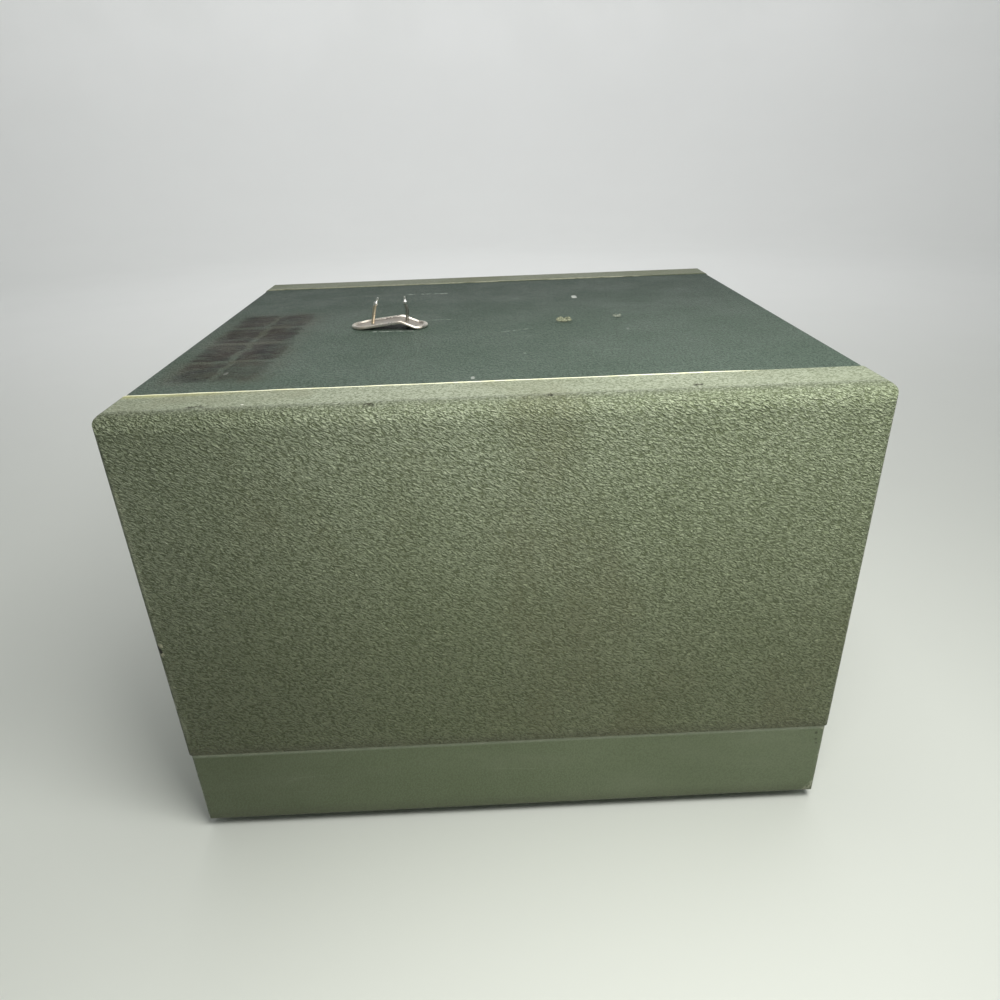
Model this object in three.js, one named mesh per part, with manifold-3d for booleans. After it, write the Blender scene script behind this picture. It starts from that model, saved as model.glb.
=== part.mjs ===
// A mid-century slide projector in its covered plywood carrying case, as an assembly of separate pieces.
// Units are millimetres, +Z is up, and the origin is on the floor under the middle of the case.
// The case's long side runs along X. Inside, the projector throws its light along +X.
import * as THREE from "three";
import { mergeVertices } from "three/addons/utils/BufferGeometryUtils.js";
import Module from "manifold-3d";

const wasm = await Module();
wasm.setup();

// Case, driving sizes
const caseDepth = 290;
const baseHeight = 45;
const coverHeight = 171;
const footHeight = 5;
const boardThickness = 8;
const topEdgeRadius = 8;
const cornerRadius = 2.5;
const sageThickness = 1.2;
const greenThickness = 0.8;
const baseSkinThickness = 0.8;
const lipWidth = 28;
const baseInset = 0.6;
const seamGap = 0.6;
const fitGap = 0.3;
const overrun = 5;

// Locating rim inside the base
const rimThickness = 3;
const rimProjection = 8;

// Rubber feet
const footRadius = 8;
const footTipRadius = 6.5;
const footInset = 24;
const footScrewRadius = 2.5;
const footScrewDepth = 2;

// Handle remains on the cover
const handleSpacing = 110;
const handleY = -4;
const plateLength = 42;
const plateWidth = 22;
const plateThickness = 1.4;
const plateRim = 2;
const plateRecess = 0.6;
const plateRidgeShare = 0.62;
const plateRidgeRise = 4.3;
const nailRadius = 0.9;
const nailStandout = 13.5;
const nailDepth = 6;
const nailPitch = 18.4;
const nailLean = 1.2;
const nailTipBend = 1.6;
const nailTipLength = 4;
const tearPitch = 30.6;
const tearRadius = 1.5;

// Draw latches on the case's two ends
const latchPlateWidth = 24;
const latchPlateLow = 12;
const latchPlateHigh = 47;
const latchPlateThickness = 1.2;
const latchEarSpacing = 6.4;
const latchEarThickness = 1.2;
const latchEarHalfHeight = 4.5;
const latchPinOut = 6.2;
const latchPinUp = 42;
const latchPinRadius = 1.2;
const latchCheekSpacing = 12;
const latchMetal = 1.2;
const latchWebOut = 9;
const latchWebDrop = 5;
const latchLeverLow = 15;
const latchLeverTipOut = 13;
const latchLeverTipRise = 4;
const latchCheekLow = 30;
const latchCheekReach = 3.2;
const latchBailDrop = 8;
const latchBailOut = 0.6;
const latchRunGap = 0.3;
const bailWireRadius = 1;
const bailReach = 28;
const bailSideGap = 1.2;
const keeperWidth = 14;
const keeperPlateWidth = 24;
const keeperPlateHigh = 22;
const keeperLipGap = 0.4;
const keeperLipRise = 3;
const keeperLow = 3;

// Projector placing and lower housing
const projectorInset = 111;
const projectorEndGap = 15;
const lensEndRoom = 37;
const chassisNoseLength = 102;
const chassisWidth = 148;
const chassisHeight = 48;
const chassisWall = 2;
const housingCornerRadius = 14;
const deckEdgeRadius = 4;
const airHoleRadius = 6.5;
const airRingRadius = 30;
const airHoleCount = 10;
const louvreLength = 32;
const louvreHeight = 3.2;
const louvrePitch = 6.6;
const louvreLow = 12;
const louvreCount = 4;
const louvreSetback = 60;
const slotCornerShare = 0.3;

// Lamp house and its top grille
const axisHeight = 104;
const lampHouseLength = 118;
const grilleHeadroom = 2.8;
const lampHouseWall = 1.6;
const lampHouseTopRadius = 3;
const lightHoleRadius = 25;
const sideSlotWidth = 3;
const sideSlotHeight = 44;
const sideSlotPitch = 9;
const sideSlotLow = 72;
const sideSlotCount = 5;
const grilleRearInset = 1.5;
const grilleWidth = 34.5;
const grilleLength = 138;
const grilleHeight = 4;
const grilleRib = 3.4;
const grilleSlat = 1.8;
const grilleSlatHeight = 1.8;
const grilleCornerRadius = 3;

// Lamp, socket and reflector
const lampSetback = 32;
const socketRadius = 17;
const socketHeight = 12;
const lampSleeveRadius = 12;
const lampFlangeRadius = 15.5;
const lampFlangeThickness = 1.2;
const lampSleeveHeight = 24;
const lampSleeveFoot = 2;
const bulbRadius = 16;
const bulbNeckRadius = 11;
const bulbNeckHeight = 10;
const bulbHeadroom = 19.8;
const reflectorRadius = 28;
const reflectorAperture = 22;
const reflectorThickness = 1.2;
const reflectorStrapWidth = 12;
const reflectorStrapReach = 8;
const reflectorFootLength = 12;

// Condenser
const condenserLampGap = 14;
const condenserInset = 2.5;
const condenserRadius = 29;
const condenserBore = 26.4;
const condenserGlassRadius = 26;
const condenserGlassEdge = 2;
const condenserGlassBulge = 8;
const condenserSaddleWidth = 40;
const condenserSaddleLength = 22;
const heatGlassThickness = 3;

// Nose housing, gate and slide carrier. Places at this end are measured along X from the slide's plane.
const gateSetback = 22;
const noseLength = 99.5;
const noseHalfWidth = 35;
const noseTop = 150;
const noseWall = 2;
const noseCornerRadius = 10;
const noseTopRadius = 6;
const carrierThickness = 6.4;
const carrierHeight = 66;
const carrierPitch = 62;
const carrierMargin = 31;
const carrierTravelGap = 1;
const carrierApertureSize = 42;
const slidePocketWidth = 51.4;
const slidePocketThickness = 3.4;
const gatePlateThickness = 2;
const gateHalfWidth = 31;
const gateTopMargin = 3;
const gateApertureWidth = 37;
const gateApertureHeight = 25;
const carrierGripLength = 12;
const carrierGripHeight = 26;
const carrierKnobRadius = 9;
const carrierKnobLength = 13;
const carrierKnobNeck = 4;

// Lens and focusing
const lensRadius = 22;
const lensBore = 19.5;
const lensRear = 30;
const lensFront = 118;
const lensRingRadius = 25;
const lensRingLength = 14;
const lensElementEdge = 3;
const lensElementBulge = 4;
const lensElementInset = 5;
const lensMountRunGap = 0.3;
const lensMountRadius = 27.5;
const lensMountInside = 12;
const lensMountOutside = 5;
const lensMountFlangeRadius = 33;
const lensMountFlange = 2.5;
const gearModule = 0.8;
const pinionTeeth = 14;
const pinionWidth = 8;
const gearBacklash = 0.3;
const rackWidth = 6;
const rackRear = 33;
const rackBarDepth = 2.2;
const focusX = 52;
const focusShaftRadius = 2.5;
const focusKnobRadius = 13;
const focusKnobLength = 14;
const focusKnobStandoff = 1.5;
const shaftRunGap = 0.3;
const fluteDepth = 0.7;

// Blower
const blowerSetback = 45;
const motorRadius = 27;
const motorFootRadius = 32;
const motorFootThickness = 2;
const motorStackSize = 50;
const motorStackHeight = 12;
const motorStackLow = 7;
const motorHeight = 25;
const motorBossRadius = 8;
const motorShaftRadius = 2.5;
const fanRadius = 38;
const fanHubRadius = 9;
const fanHubHeight = 10;
const fanBladeChord = 20;
const fanBladeThickness = 1.2;
const fanLift = 2;
const fanPitchAngle = 0.5;

// Mains inlet and switch
const inletSetback = 90;
const inletUp = 24;
const inletFlangeWidth = 38;
const inletFlangeHeight = 26;
const inletFlangeThickness = 3;
const inletShroudWidth = 28;
const inletShroudHeight = 18;
const inletShroudLength = 14;
const inletWall = 2;
const inletFloor = 3;
const inletPinRadius = 2;
const inletPinPitch = 15;
const inletPinLength = 9;
const switchSetback = 34;
const switchNoseGap = 8;
const switchSideGap = 7;
const switchHeight = 13;
const switchPointerWidth = 4;
const switchPointerRise = 2;
const switchStemRadius = 2.2;

// Elevating screw at the lens end
const elevationReach = 32;
const screwRadius = 4;
const screwLength = 44;
const padRadius = 9;
const padThickness = 2.5;
const padClearance = 1.2;
const bushingRadius = 7.5;
const bushingFlangeRadius = 15;
const bushingFlange = 2.5;
const screwRunGap = 0.4;
const elevationKnobRadius = 17;
const elevationKnobHeight = 11;

// Slotted screw and rivet heads, and how far in from a plate's edge they sit
const screwHeadRadius = 1.6;
const screwHeadHeight = 0.9;
const screwSlotWidth = 0.5;
const screwSlotDepth = 0.5;
const rivetCrownShare = 0.65;
const screwEdge = 2.6;
const lampHouseScrewInset = 16;
const lampHouseScrewUp = 7;

// Facets round a full circle, on large, middling, small and tiny pieces and holes.
// Pairs give half the facets on a rounded corner and on a rounded edge.
const roundSides = 28;
const middleSides = 20;
const smallSides = 12;
const tinySides = 8;
const wireFacets = 3;
const bailSteps = 40;
const skinFacets = [3, 7];
const hiddenFacets = [1, 2];
const baseFacets = 2;
const housingFacets = [3, 2];
const hollowFacets = [1, 1];

// Materials
function finish(color, roughness, metalness = 0) {
  return new THREE.MeshStandardMaterial({ color, roughness, metalness });
}
const plywood = finish(0xb99b6b, 0.8);
const sageVinyl = finish(0x97a183, 0.6);
const greenVinyl = finish(0x53635a, 0.6);
const baseVinyl = finish(0x7c8568, 0.6);
const rubber = finish(0x202020, 0.9);
const nickel = finish(0xb8b4a8, 0.35, 1);
const castEnamel = finish(0x8d9a86, 0.45, 0.1);
const darkEnamel = finish(0x46534b, 0.5, 0.1);
const blackPlastic = finish(0x151515, 0.35);
const aluminium = finish(0xc4c6c8, 0.35, 1);
const steel = finish(0x8c8e90, 0.4, 1);
const brass = finish(0xb08d4a, 0.35, 1);
const ceramic = finish(0xe8e4da, 0.5);
const clearGlass = new THREE.MeshStandardMaterial({
  color: 0xdfe8ea,
  roughness: 0.05,
  metalness: 0,
  transparent: true,
  opacity: 0.35,
});

// Turns a closed geometry into a solid that can be joined and cut.
function toSolid(geometry) {
  const bare = geometry.index ? geometry.toNonIndexed() : geometry.clone();
  for (const name of Object.keys(bare.attributes)) {
    if (name !== "position") bare.deleteAttribute(name);
  }
  const merged = mergeVertices(bare);
  const vertProperties = merged.attributes.position.array;
  const triVerts = new Uint32Array(merged.index.array);
  const corner = [new THREE.Vector3(), new THREE.Vector3(), new THREE.Vector3()];
  let volume = 0;
  for (let i = 0; i < triVerts.length; i += 3) {
    corner.forEach((c, k) => c.fromArray(vertProperties, 3 * triVerts[i + k]));
    volume += corner[0].dot(corner[1].cross(corner[2]));
  }
  if (volume < 0) triVerts.reverse();
  return new wasm.Manifold(new wasm.Mesh({ numProp: 3, vertProperties, triVerts }));
}

// Turns a solid back into a geometry.
function toGeometry(solid) {
  const mesh = solid.getMesh();
  const positions = new Float32Array(mesh.numVert * 3);
  for (let i = 0; i < mesh.numVert; i++) {
    const start = i * mesh.numProp;
    positions.set(mesh.vertProperties.subarray(start, start + 3), i * 3);
  }
  const geometry = new THREE.BufferGeometry();
  geometry.setAttribute("position", new THREE.BufferAttribute(positions, 3));
  geometry.setIndex(new THREE.BufferAttribute(mesh.triVerts, 1));
  geometry.computeVertexNormals();
  return geometry;
}

function join(...solids) {
  return solids.reduce((whole, next) => whole.add(next));
}

function cut(solid, ...tools) {
  return tools.reduce((whole, tool) => whole.subtract(tool), solid);
}

function common(...solids) {
  return solids.reduce((whole, next) => whole.intersect(next));
}

// A box between two corners.
function block([x0, y0, z0], [x1, y1, z1]) {
  const box = new THREE.BoxGeometry(x1 - x0, y1 - y0, z1 - z0);
  return toSolid(box.translate((x0 + x1) / 2, (y0 + y1) / 2, (z0 + z1) / 2));
}

// Turns a shape's own axes so that its third axis lies along X, Y or Z.
const turnTo = {
  x: new THREE.Matrix4().set(0, 0, 1, 0, 1, 0, 0, 0, 0, 1, 0, 0, 0, 0, 0, 1),
  y: new THREE.Matrix4().set(1, 0, 0, 0, 0, 0, 1, 0, 0, 1, 0, 0, 0, 0, 0, 1),
  z: new THREE.Matrix4(),
};

// Extrudes an outline along an axis, from one place on it to another.
// The outline is drawn in (y, z) for x, in (x, z) for y and in (x, y) for z.
function prism(axis, outline, from, to, curveSegments = 3) {
  const settings = { depth: to - from, bevelEnabled: false, curveSegments };
  const geometry = new THREE.ExtrudeGeometry(outline, settings);
  return toSolid(geometry.translate(0, 0, from).applyMatrix4(turnTo[axis]));
}

// Revolves a profile of [radius, height] pairs about an axis.
// The profile starts and ends on the axis, or closes on itself.
function revolve(axis, profile, sides, [cx, cy, cz] = [0, 0, 0]) {
  const points = profile.map(([radius, height]) => new THREE.Vector2(radius, height));
  const geometry = new THREE.LatheGeometry(points, sides).rotateX(Math.PI / 2);
  const turned = geometry.applyMatrix4(turnTo[axis]);
  return toSolid(turned.translate(cx, cy, cz));
}

// A plain cylinder along an axis between two places on it, centred on the given point.
function rod(axis, radius, from, to, sides, centre) {
  return revolve(axis, [[0, from], [radius, from], [radius, to], [0, to]], sides, centre);
}

// A tube along an axis.
function pipe(axis, bore, radius, from, to, sides, centre) {
  const profile = [[bore, from], [radius, from], [radius, to], [bore, to], [bore, from]];
  return revolve(axis, profile, sides, centre);
}

// A rectangle with a radius on each corner: low-left, low-right, high-right, high-left.
function rectangle(x0, x1, y0, y1, radii = [0, 0, 0, 0]) {
  const [a, b, c, d] = radii;
  const shape = new THREE.Shape();
  shape.moveTo(x0 + a, y0);
  shape.lineTo(x1 - b, y0);
  if (b) shape.absarc(x1 - b, y0 + b, b, -Math.PI / 2, 0);
  shape.lineTo(x1, y1 - c);
  if (c) shape.absarc(x1 - c, y1 - c, c, 0, Math.PI / 2);
  shape.lineTo(x0 + d, y1);
  if (d) shape.absarc(x0 + d, y1 - d, d, Math.PI / 2, Math.PI);
  shape.lineTo(x0, y0 + a);
  if (a) shape.absarc(x0 + a, y0 + a, a, Math.PI, (3 * Math.PI) / 2);
  return shape;
}

function polygon(points) {
  return new THREE.Shape(points.map(([x, y]) => new THREE.Vector2(x, y)));
}

// A round outline with a wavy edge, for knurled grips.
function flutedCircle(radius, depth, flutes) {
  const points = [];
  const steps = flutes * 3;
  for (let i = 0; i < steps; i++) {
    const angle = (2 * Math.PI * i) / steps;
    const r = radius - (depth * (1 - Math.cos(flutes * angle))) / 2;
    points.push([r * Math.cos(angle), r * Math.sin(angle)]);
  }
  return polygon(points);
}

// A screw head standing on a face, pointing along an axis, or against it when the side is negative.
function screwHead(axis, side, [cx, cy, cz]) {
  const low = Math.min(-side * fitGap, side * screwHeadHeight);
  const high = Math.max(-side * fitGap, side * screwHeadHeight);
  const crown = side * screwHeadHeight;
  const floor = side * (screwHeadHeight - screwSlotDepth);
  const slot = rectangle(-screwSlotWidth / 2, screwSlotWidth / 2, -overrun, overrun);
  const past = crown + side * overrun;
  const slotTool = prism(axis, slot, Math.min(floor, past), Math.max(floor, past));
  const head = cut(rod(axis, screwHeadRadius, low, high, tinySides), slotTool);
  return toSolid(toGeometry(head).translate(cx, cy, cz));
}

// A round wire along a path of straight runs joined by small bends.
function wire(points, radius, bend, steps) {
  const path = new THREE.CurvePath();
  let start = points[0].clone();
  for (let i = 1; i < points.length - 1; i++) {
    const before = points[i - 1].clone().sub(points[i]).setLength(bend).add(points[i]);
    const after = points[i + 1].clone().sub(points[i]).setLength(bend).add(points[i]);
    path.add(new THREE.LineCurve3(start, before));
    path.add(new THREE.QuadraticBezierCurve3(before, points[i], after));
    start = after;
  }
  path.add(new THREE.LineCurve3(start, points[points.length - 1]));
  const section = new THREE.Shape().absarc(0, 0, radius, 0, 2 * Math.PI);
  const settings = { extrudePath: path, steps, curveSegments: wireFacets, bevelEnabled: false };
  return toSolid(new THREE.ExtrudeGeometry(section, settings));
}

// Adds a solid to a group as a named mesh.
function addPart(group, name, solid, material, position = [0, 0, 0]) {
  const mesh = new THREE.Mesh(toGeometry(solid), material);
  mesh.name = name;
  mesh.position.set(...position);
  group.add(mesh);
  return mesh;
}

const projector = new THREE.Group();
const baseGroup = new THREE.Group();
const coverGroup = new THREE.Group();
const machineGroup = new THREE.Group();
projector.add(baseGroup, coverGroup, machineGroup);

// The case is as long as the projector and the room at its two ends.
const caseLength = projectorEndGap + lampHouseLength + gateSetback + lensFront + lensEndRoom;

// Places along and across the projector
const chassisRear = projectorEndGap - caseLength / 2;
const lampHouseFront = chassisRear + lampHouseLength;
const chassisFront = lampHouseFront + chassisNoseLength;
const halfChassis = chassisWidth / 2;
const lampX = chassisRear + lampSetback;
const blowerX = chassisRear + blowerSetback;
const inletX = chassisRear + inletSetback;
const louvreX = chassisFront - louvreSetback;
const switchX = chassisFront - switchSetback;
const switchRadius = (halfChassis - noseHalfWidth - switchNoseGap - switchSideGap) / 2;
const switchY = noseHalfWidth + switchNoseGap + switchRadius;
const elevationX = chassisFront + elevationReach;

// Heights and places that the case gives to the projector
const baseBoardInset = baseInset + baseSkinThickness + fitGap;
const floorTop = baseBoardInset - baseInset + boardThickness;
const coverBoardInset = sageThickness + fitGap;
const coverCeiling = coverHeight - coverBoardInset - boardThickness;
const machineFloor = footHeight + floorTop + fitGap;
const grilleTop = footHeight + baseHeight + coverCeiling - grilleHeadroom - machineFloor;
const lampHouseTop = grilleTop - grilleHeight - fitGap;
const projectorY = projectorInset - caseDepth / 2;

// Case base: a tray of plywood boards under one smooth covering, with its feet.
baseGroup.position.z = footHeight;
const baseTop = baseHeight - seamGap;

// The base's outer block, drawn in on all sides but the top.
function baseBlock(inset, top, facets = 1) {
  const halfX = caseLength / 2 - inset;
  const halfY = caseDepth / 2 - inset;
  const low = inset - baseInset;
  const radius = Math.max(cornerRadius - low, fitGap);
  const foot = [radius, radius, 0, 0];
  return common(
    prism("z", rectangle(-halfX, halfX, -halfY, halfY, Array(4).fill(radius)), low, top, facets),
    prism("x", rectangle(-halfY, halfY, low, top, foot), -halfX, halfX, facets),
    prism("y", rectangle(-halfX, halfX, low, top, foot), -halfY, halfY, facets),
  );
}

const elevationPlace = [elevationX, projectorY, 0];
const bushingHoleRadius = bushingRadius + fitGap;
const bushingHole = rod("z", bushingHoleRadius, -overrun, baseHeight, middleSides, elevationPlace);

function buildBase() {
  const shell = cut(
    baseBlock(baseInset, baseTop, baseFacets),
    baseBlock(baseInset + baseSkinThickness, baseTop + overrun),
    bushingHole,
  );
  addPart(baseGroup, "base_covering", shell, baseVinyl);

  const boards = baseBlock(baseBoardInset, baseTop);
  const outX = caseLength / 2;
  const outY = caseDepth / 2;
  const inX = outX - baseBoardInset - boardThickness;
  const inY = outY - baseBoardInset - boardThickness;
  const front = block([-outX, -outY, 0], [outX, -inY, baseTop]);
  const back = block([-outX, inY, 0], [outX, outY, baseTop]);
  const left = block([-outX, -inY + fitGap, 0], [-inX, inY - fitGap, baseTop]);
  const right = block([inX, -inY + fitGap, 0], [outX, inY - fitGap, baseTop]);
  addPart(baseGroup, "base_front_board", common(boards, front), plywood);
  addPart(baseGroup, "base_back_board", common(boards, back), plywood);
  addPart(baseGroup, "base_left_board", common(boards, left), plywood);
  addPart(baseGroup, "base_right_board", common(boards, right), plywood);
  const floorX = inX - fitGap;
  const floorY = inY - fitGap;
  const floor = block([-floorX, -floorY, 0], [floorX, floorY, floorTop]);
  addPart(baseGroup, "base_floor_board", cut(common(boards, floor), bushingHole), plywood);

  const rimOut = [floorX, floorY];
  const rimIn = [floorX - rimThickness, floorY - rimThickness];
  const rimLow = floorTop + fitGap;
  const rimHigh = baseHeight + rimProjection;
  const rim = cut(
    block([-rimOut[0], -rimOut[1], rimLow], [...rimOut, rimHigh]),
    block([-rimIn[0], -rimIn[1], 0], [...rimIn, rimHigh + overrun]),
  );
  addPart(baseGroup, "base_locating_rim", rim, darkEnamel);
}

function buildFeet() {
  const foot = revolve(
    "z",
    [
      [footScrewRadius, 0],
      [footTipRadius, 0],
      [footRadius, footHeight - fitGap],
      [0, footHeight - fitGap],
      [0, footScrewDepth],
      [footScrewRadius, footScrewDepth],
      [footScrewRadius, 0],
    ],
    smallSides,
  );
  const footX = caseLength / 2 - footInset;
  const footY = caseDepth / 2 - footInset;
  const corners = { front_left: [-1, -1], front_right: [1, -1], back_left: [-1, 1], back_right: [1, 1] };
  for (const [corner, [sx, sy]] of Object.entries(corners)) {
    addPart(baseGroup, `foot_${corner}`, foot, rubber, [sx * footX, sy * footY, -footHeight]);
  }
}

// Case cover: five plywood boards. Sage covering wraps the front and back over their edges,
// and dark green covering lies between them on the top and both ends.
coverGroup.position.z = footHeight + baseHeight;

// The cover's outer block, drawn in on all sides but the bottom.
function coverBlock(inset, low, [cornerFacets, edgeFacets]) {
  const halfX = caseLength / 2 - inset;
  const halfY = caseDepth / 2 - inset;
  const top = coverHeight - inset;
  const edge = Math.max(topEdgeRadius - inset, fitGap);
  const corner = Math.max(cornerRadius - inset, fitGap);
  return common(
    prism("z", rectangle(-halfX, halfX, -halfY, halfY, Array(4).fill(corner)), low, top, cornerFacets),
    prism("x", rectangle(-halfY, halfY, low, top, [0, 0, edge, edge]), -halfX, halfX, edgeFacets),
    prism("y", rectangle(-halfX, halfX, low, top, [0, 0, corner, corner]), -halfY, halfY, cornerFacets),
  );
}

// Holes through the cover's top for the nails of the handle's two ends.
function nailHoles(radius, pitch, x) {
  const holes = [-pitch / 2, pitch / 2].map((side) => [x + side, handleY, 0]);
  return holes.map((place) => rod("z", radius, 0, coverHeight + overrun, tinySides, place));
}

const plateX = -handleSpacing / 2;
const missingPlateX = handleSpacing / 2;
const nailHoleRadius = nailRadius + fitGap;

function buildCover() {
  const outX = caseLength / 2 + overrun;
  const outY = caseDepth / 2 + overrun;
  const lipY = caseDepth / 2 - lipWidth;
  const high = coverHeight + overrun;
  const holes = [
    ...nailHoles(nailHoleRadius, nailPitch, plateX),
    ...nailHoles(tearRadius, tearPitch, missingPlateX),
  ];
  const core = coverBlock(sageThickness, -overrun, hiddenFacets);
  const sage = cut(coverBlock(0, 0, skinFacets), core);
  const front = block([-outX, -outY, 0], [outX, -lipY, high]);
  const back = block([-outX, lipY, 0], [outX, outY, high]);
  addPart(coverGroup, "cover_front_covering", common(sage, front), sageVinyl);
  addPart(coverGroup, "cover_back_covering", common(sage, back), sageVinyl);
  const green = cut(coverBlock(sageThickness - greenThickness, 0, skinFacets), core, ...holes);
  const greenY = lipY - fitGap;
  const middle = block([-outX, -greenY, 0], [outX, greenY, high]);
  addPart(coverGroup, "cover_top_covering", common(green, middle), greenVinyl);

  const boards = coverBlock(coverBoardInset, 0, hiddenFacets);
  const inX = caseLength / 2 - coverBoardInset - boardThickness;
  const inY = caseDepth / 2 - coverBoardInset - boardThickness;
  const wallHigh = coverCeiling - fitGap;
  const walls = {
    cover_front_board: block([-outX, -outY, 0], [outX, -inY, wallHigh]),
    cover_back_board: block([-outX, inY, 0], [outX, outY, wallHigh]),
    cover_left_board: block([-outX, -inY + fitGap, 0], [-inX, inY - fitGap, wallHigh]),
    cover_right_board: block([inX, -inY + fitGap, 0], [outX, inY - fitGap, wallHigh]),
  };
  for (const [name, wall] of Object.entries(walls)) {
    addPart(coverGroup, name, common(boards, wall), plywood);
  }
  const topBoard = cut(common(boards, block([-outX, -outY, coverCeiling], [outX, outY, high])), ...holes);
  addPart(coverGroup, "cover_top_board", topBoard, plywood);
}

// Moves a solid up by an amount that grows along X from a hinge line.
function slope(solid, hingeX, rise) {
  const shear = new THREE.Matrix4().makeShear(0, rise, 0, 0, 0, 0);
  const geometry = toGeometry(solid).translate(-hingeX, 0, 0).applyMatrix4(shear);
  return toSolid(geometry.translate(hingeX, 0, 0));
}

// The one end plate left of the lost handle: pressed metal, kinked up where the strap was torn out.
function buildHandlePlate() {
  const half = plateLength / 2;
  const round = plateWidth / 2;
  const ridgeX = -half + plateLength * plateRidgeShare;
  const outline = rectangle(-half, half, -round, round, Array(4).fill(round));
  const inner = round - plateRim;
  const recess = rectangle(-half + plateRim, half - plateRim, -inner, inner, Array(4).fill(inner));
  const flat = cut(
    prism("z", outline, 0, plateThickness),
    prism("z", recess, plateThickness - plateRecess, plateThickness + overrun),
    rod("z", nailHoleRadius, -overrun, overrun, tinySides, [-nailPitch / 2, 0, 0]),
    rod("z", nailHoleRadius, -overrun, overrun, tinySides, [nailPitch / 2, 0, 0]),
  );
  const leftOfRidge = block([-plateLength, -plateWidth, -overrun], [ridgeX, plateWidth, overrun]);
  const rightOfRidge = block([ridgeX, -plateWidth, -overrun], [plateLength, plateWidth, overrun]);
  const plate = join(
    slope(common(flat, leftOfRidge), -half, plateRidgeRise / (ridgeX + half)),
    slope(common(flat, rightOfRidge), half, -plateRidgeRise / (half - ridgeX)),
  );
  const top = coverHeight - sageThickness + greenThickness + fitGap;
  addPart(coverGroup, "handle_end_plate", plate, nickel, [plateX, handleY, top]);
}

// The two nails that held the strap, pulled half out and leaning towards each other.
function buildHandleNails() {
  const foot = new THREE.Vector3(0, 0, -nailDepth);
  const kink = new THREE.Vector3(nailLean, 0, nailStandout - nailTipLength);
  const tip = new THREE.Vector3(nailLean + nailTipBend, 0, nailStandout);
  const straight = new THREE.Vector3(0, 0, plateThickness + plateRidgeRise);
  const nail = wire([foot, straight, kink, tip], nailRadius, nailRadius, smallSides);
  const places = { left: [-nailPitch / 2, 0], right: [nailPitch / 2, Math.PI] };
  for (const [side, [x, turn]] of Object.entries(places)) {
    const place = [plateX + x, handleY, coverHeight];
    const mesh = addPart(coverGroup, `handle_nail_${side}`, nail, steel, place);
    mesh.rotation.z = turn;
  }
}

// Draw latches. Each group's own +X points out of the case's end,
// and its origin is on the floor at the end's face.
const bailPivotOut = latchPinOut + latchBailOut;
const bailPivotUp = latchPinUp - latchBailDrop;
const cheekHalf = latchCheekSpacing / 2 + latchMetal;
const keeperShift = baseInset - sageThickness + greenThickness;

// Rivet heads at the four corners of an upright plate.
function plateRivets(x, half, low, high) {
  const places = [];
  for (const y of [-half + screwEdge, half - screwEdge]) {
    for (const z of [low + screwEdge, high - screwEdge]) places.push([x, y, z]);
  }
  const crown = screwHeadRadius * rivetCrownShare;
  const head = [[0, -fitGap], [screwHeadRadius, -fitGap], [crown, screwHeadHeight], [0, screwHeadHeight]];
  return places.map((place) => revolve("x", head, tinySides, place));
}

function latchPlateSolid() {
  const half = latchPlateWidth / 2;
  const backing = block([0, -half, latchPlateLow], [latchPlateThickness, half, latchPlateHigh]);
  const earOutline = polygon([
    [0, latchPinUp - latchEarHalfHeight],
    [latchPinOut, latchPinUp - latchPinRadius - latchMetal],
    [latchPinOut + latchPinRadius + latchMetal, latchPinUp - latchPinRadius],
    [latchPinOut + latchPinRadius + latchMetal, latchPinUp + latchPinRadius],
    [latchPinOut, latchPinUp + latchPinRadius + latchMetal],
    [0, latchPinUp + latchEarHalfHeight],
  ]);
  const earIn = latchEarSpacing / 2;
  const earOut = earIn + latchEarThickness;
  const ears = [
    prism("y", earOutline, -earOut, -earIn),
    prism("y", earOutline, earIn, earOut),
  ];
  const pinHalf = cheekHalf + fitGap;
  const pin = rod("y", latchPinRadius, -pinHalf, pinHalf, smallSides, [latchPinOut, 0, latchPinUp]);
  const rivets = plateRivets(latchPlateThickness, half, latchPlateLow, latchPlateHigh);
  return join(backing, ...ears, pin, ...rivets);
}

function latchLeverSolid() {
  const webIn = latchWebOut;
  const webOut = latchWebOut + latchMetal;
  const tipHigh = latchLeverLow + latchLeverTipRise;
  const webHigh = latchPinUp - latchWebDrop;
  const web = polygon([
    [webIn, webHigh],
    [webIn, tipHigh],
    [latchLeverTipOut, latchLeverLow],
    [latchLeverTipOut + latchMetal, latchLeverLow + latchMetal],
    [webOut, tipHigh + latchMetal],
    [webOut, webHigh],
  ]);
  const cheek = polygon([
    [latchPinOut - latchCheekReach, latchPinUp],
    [latchPinOut - latchCheekReach, bailPivotUp - bailWireRadius - latchMetal],
    [latchPinOut, latchCheekLow],
    [webOut, latchCheekLow],
    [webOut, latchPinUp],
    [latchPinOut + latchCheekReach / 2, latchPinUp + latchCheekReach],
    [latchPinOut - latchCheekReach / 2, latchPinUp + latchCheekReach],
  ]);
  const cheekIn = latchCheekSpacing / 2;
  const past = cheekHalf + overrun;
  const pinPlace = [latchPinOut, 0, latchPinUp];
  const wirePlace = [bailPivotOut, 0, bailPivotUp];
  return cut(
    join(
      prism("y", web, -cheekHalf, cheekHalf),
      prism("y", cheek, -cheekHalf, -cheekIn),
      prism("y", cheek, cheekIn, cheekHalf),
    ),
    rod("y", latchPinRadius + latchRunGap, -past, past, smallSides, pinPlace),
    rod("y", bailWireRadius + latchRunGap, -past, past, smallSides, wirePlace),
  );
}

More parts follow.
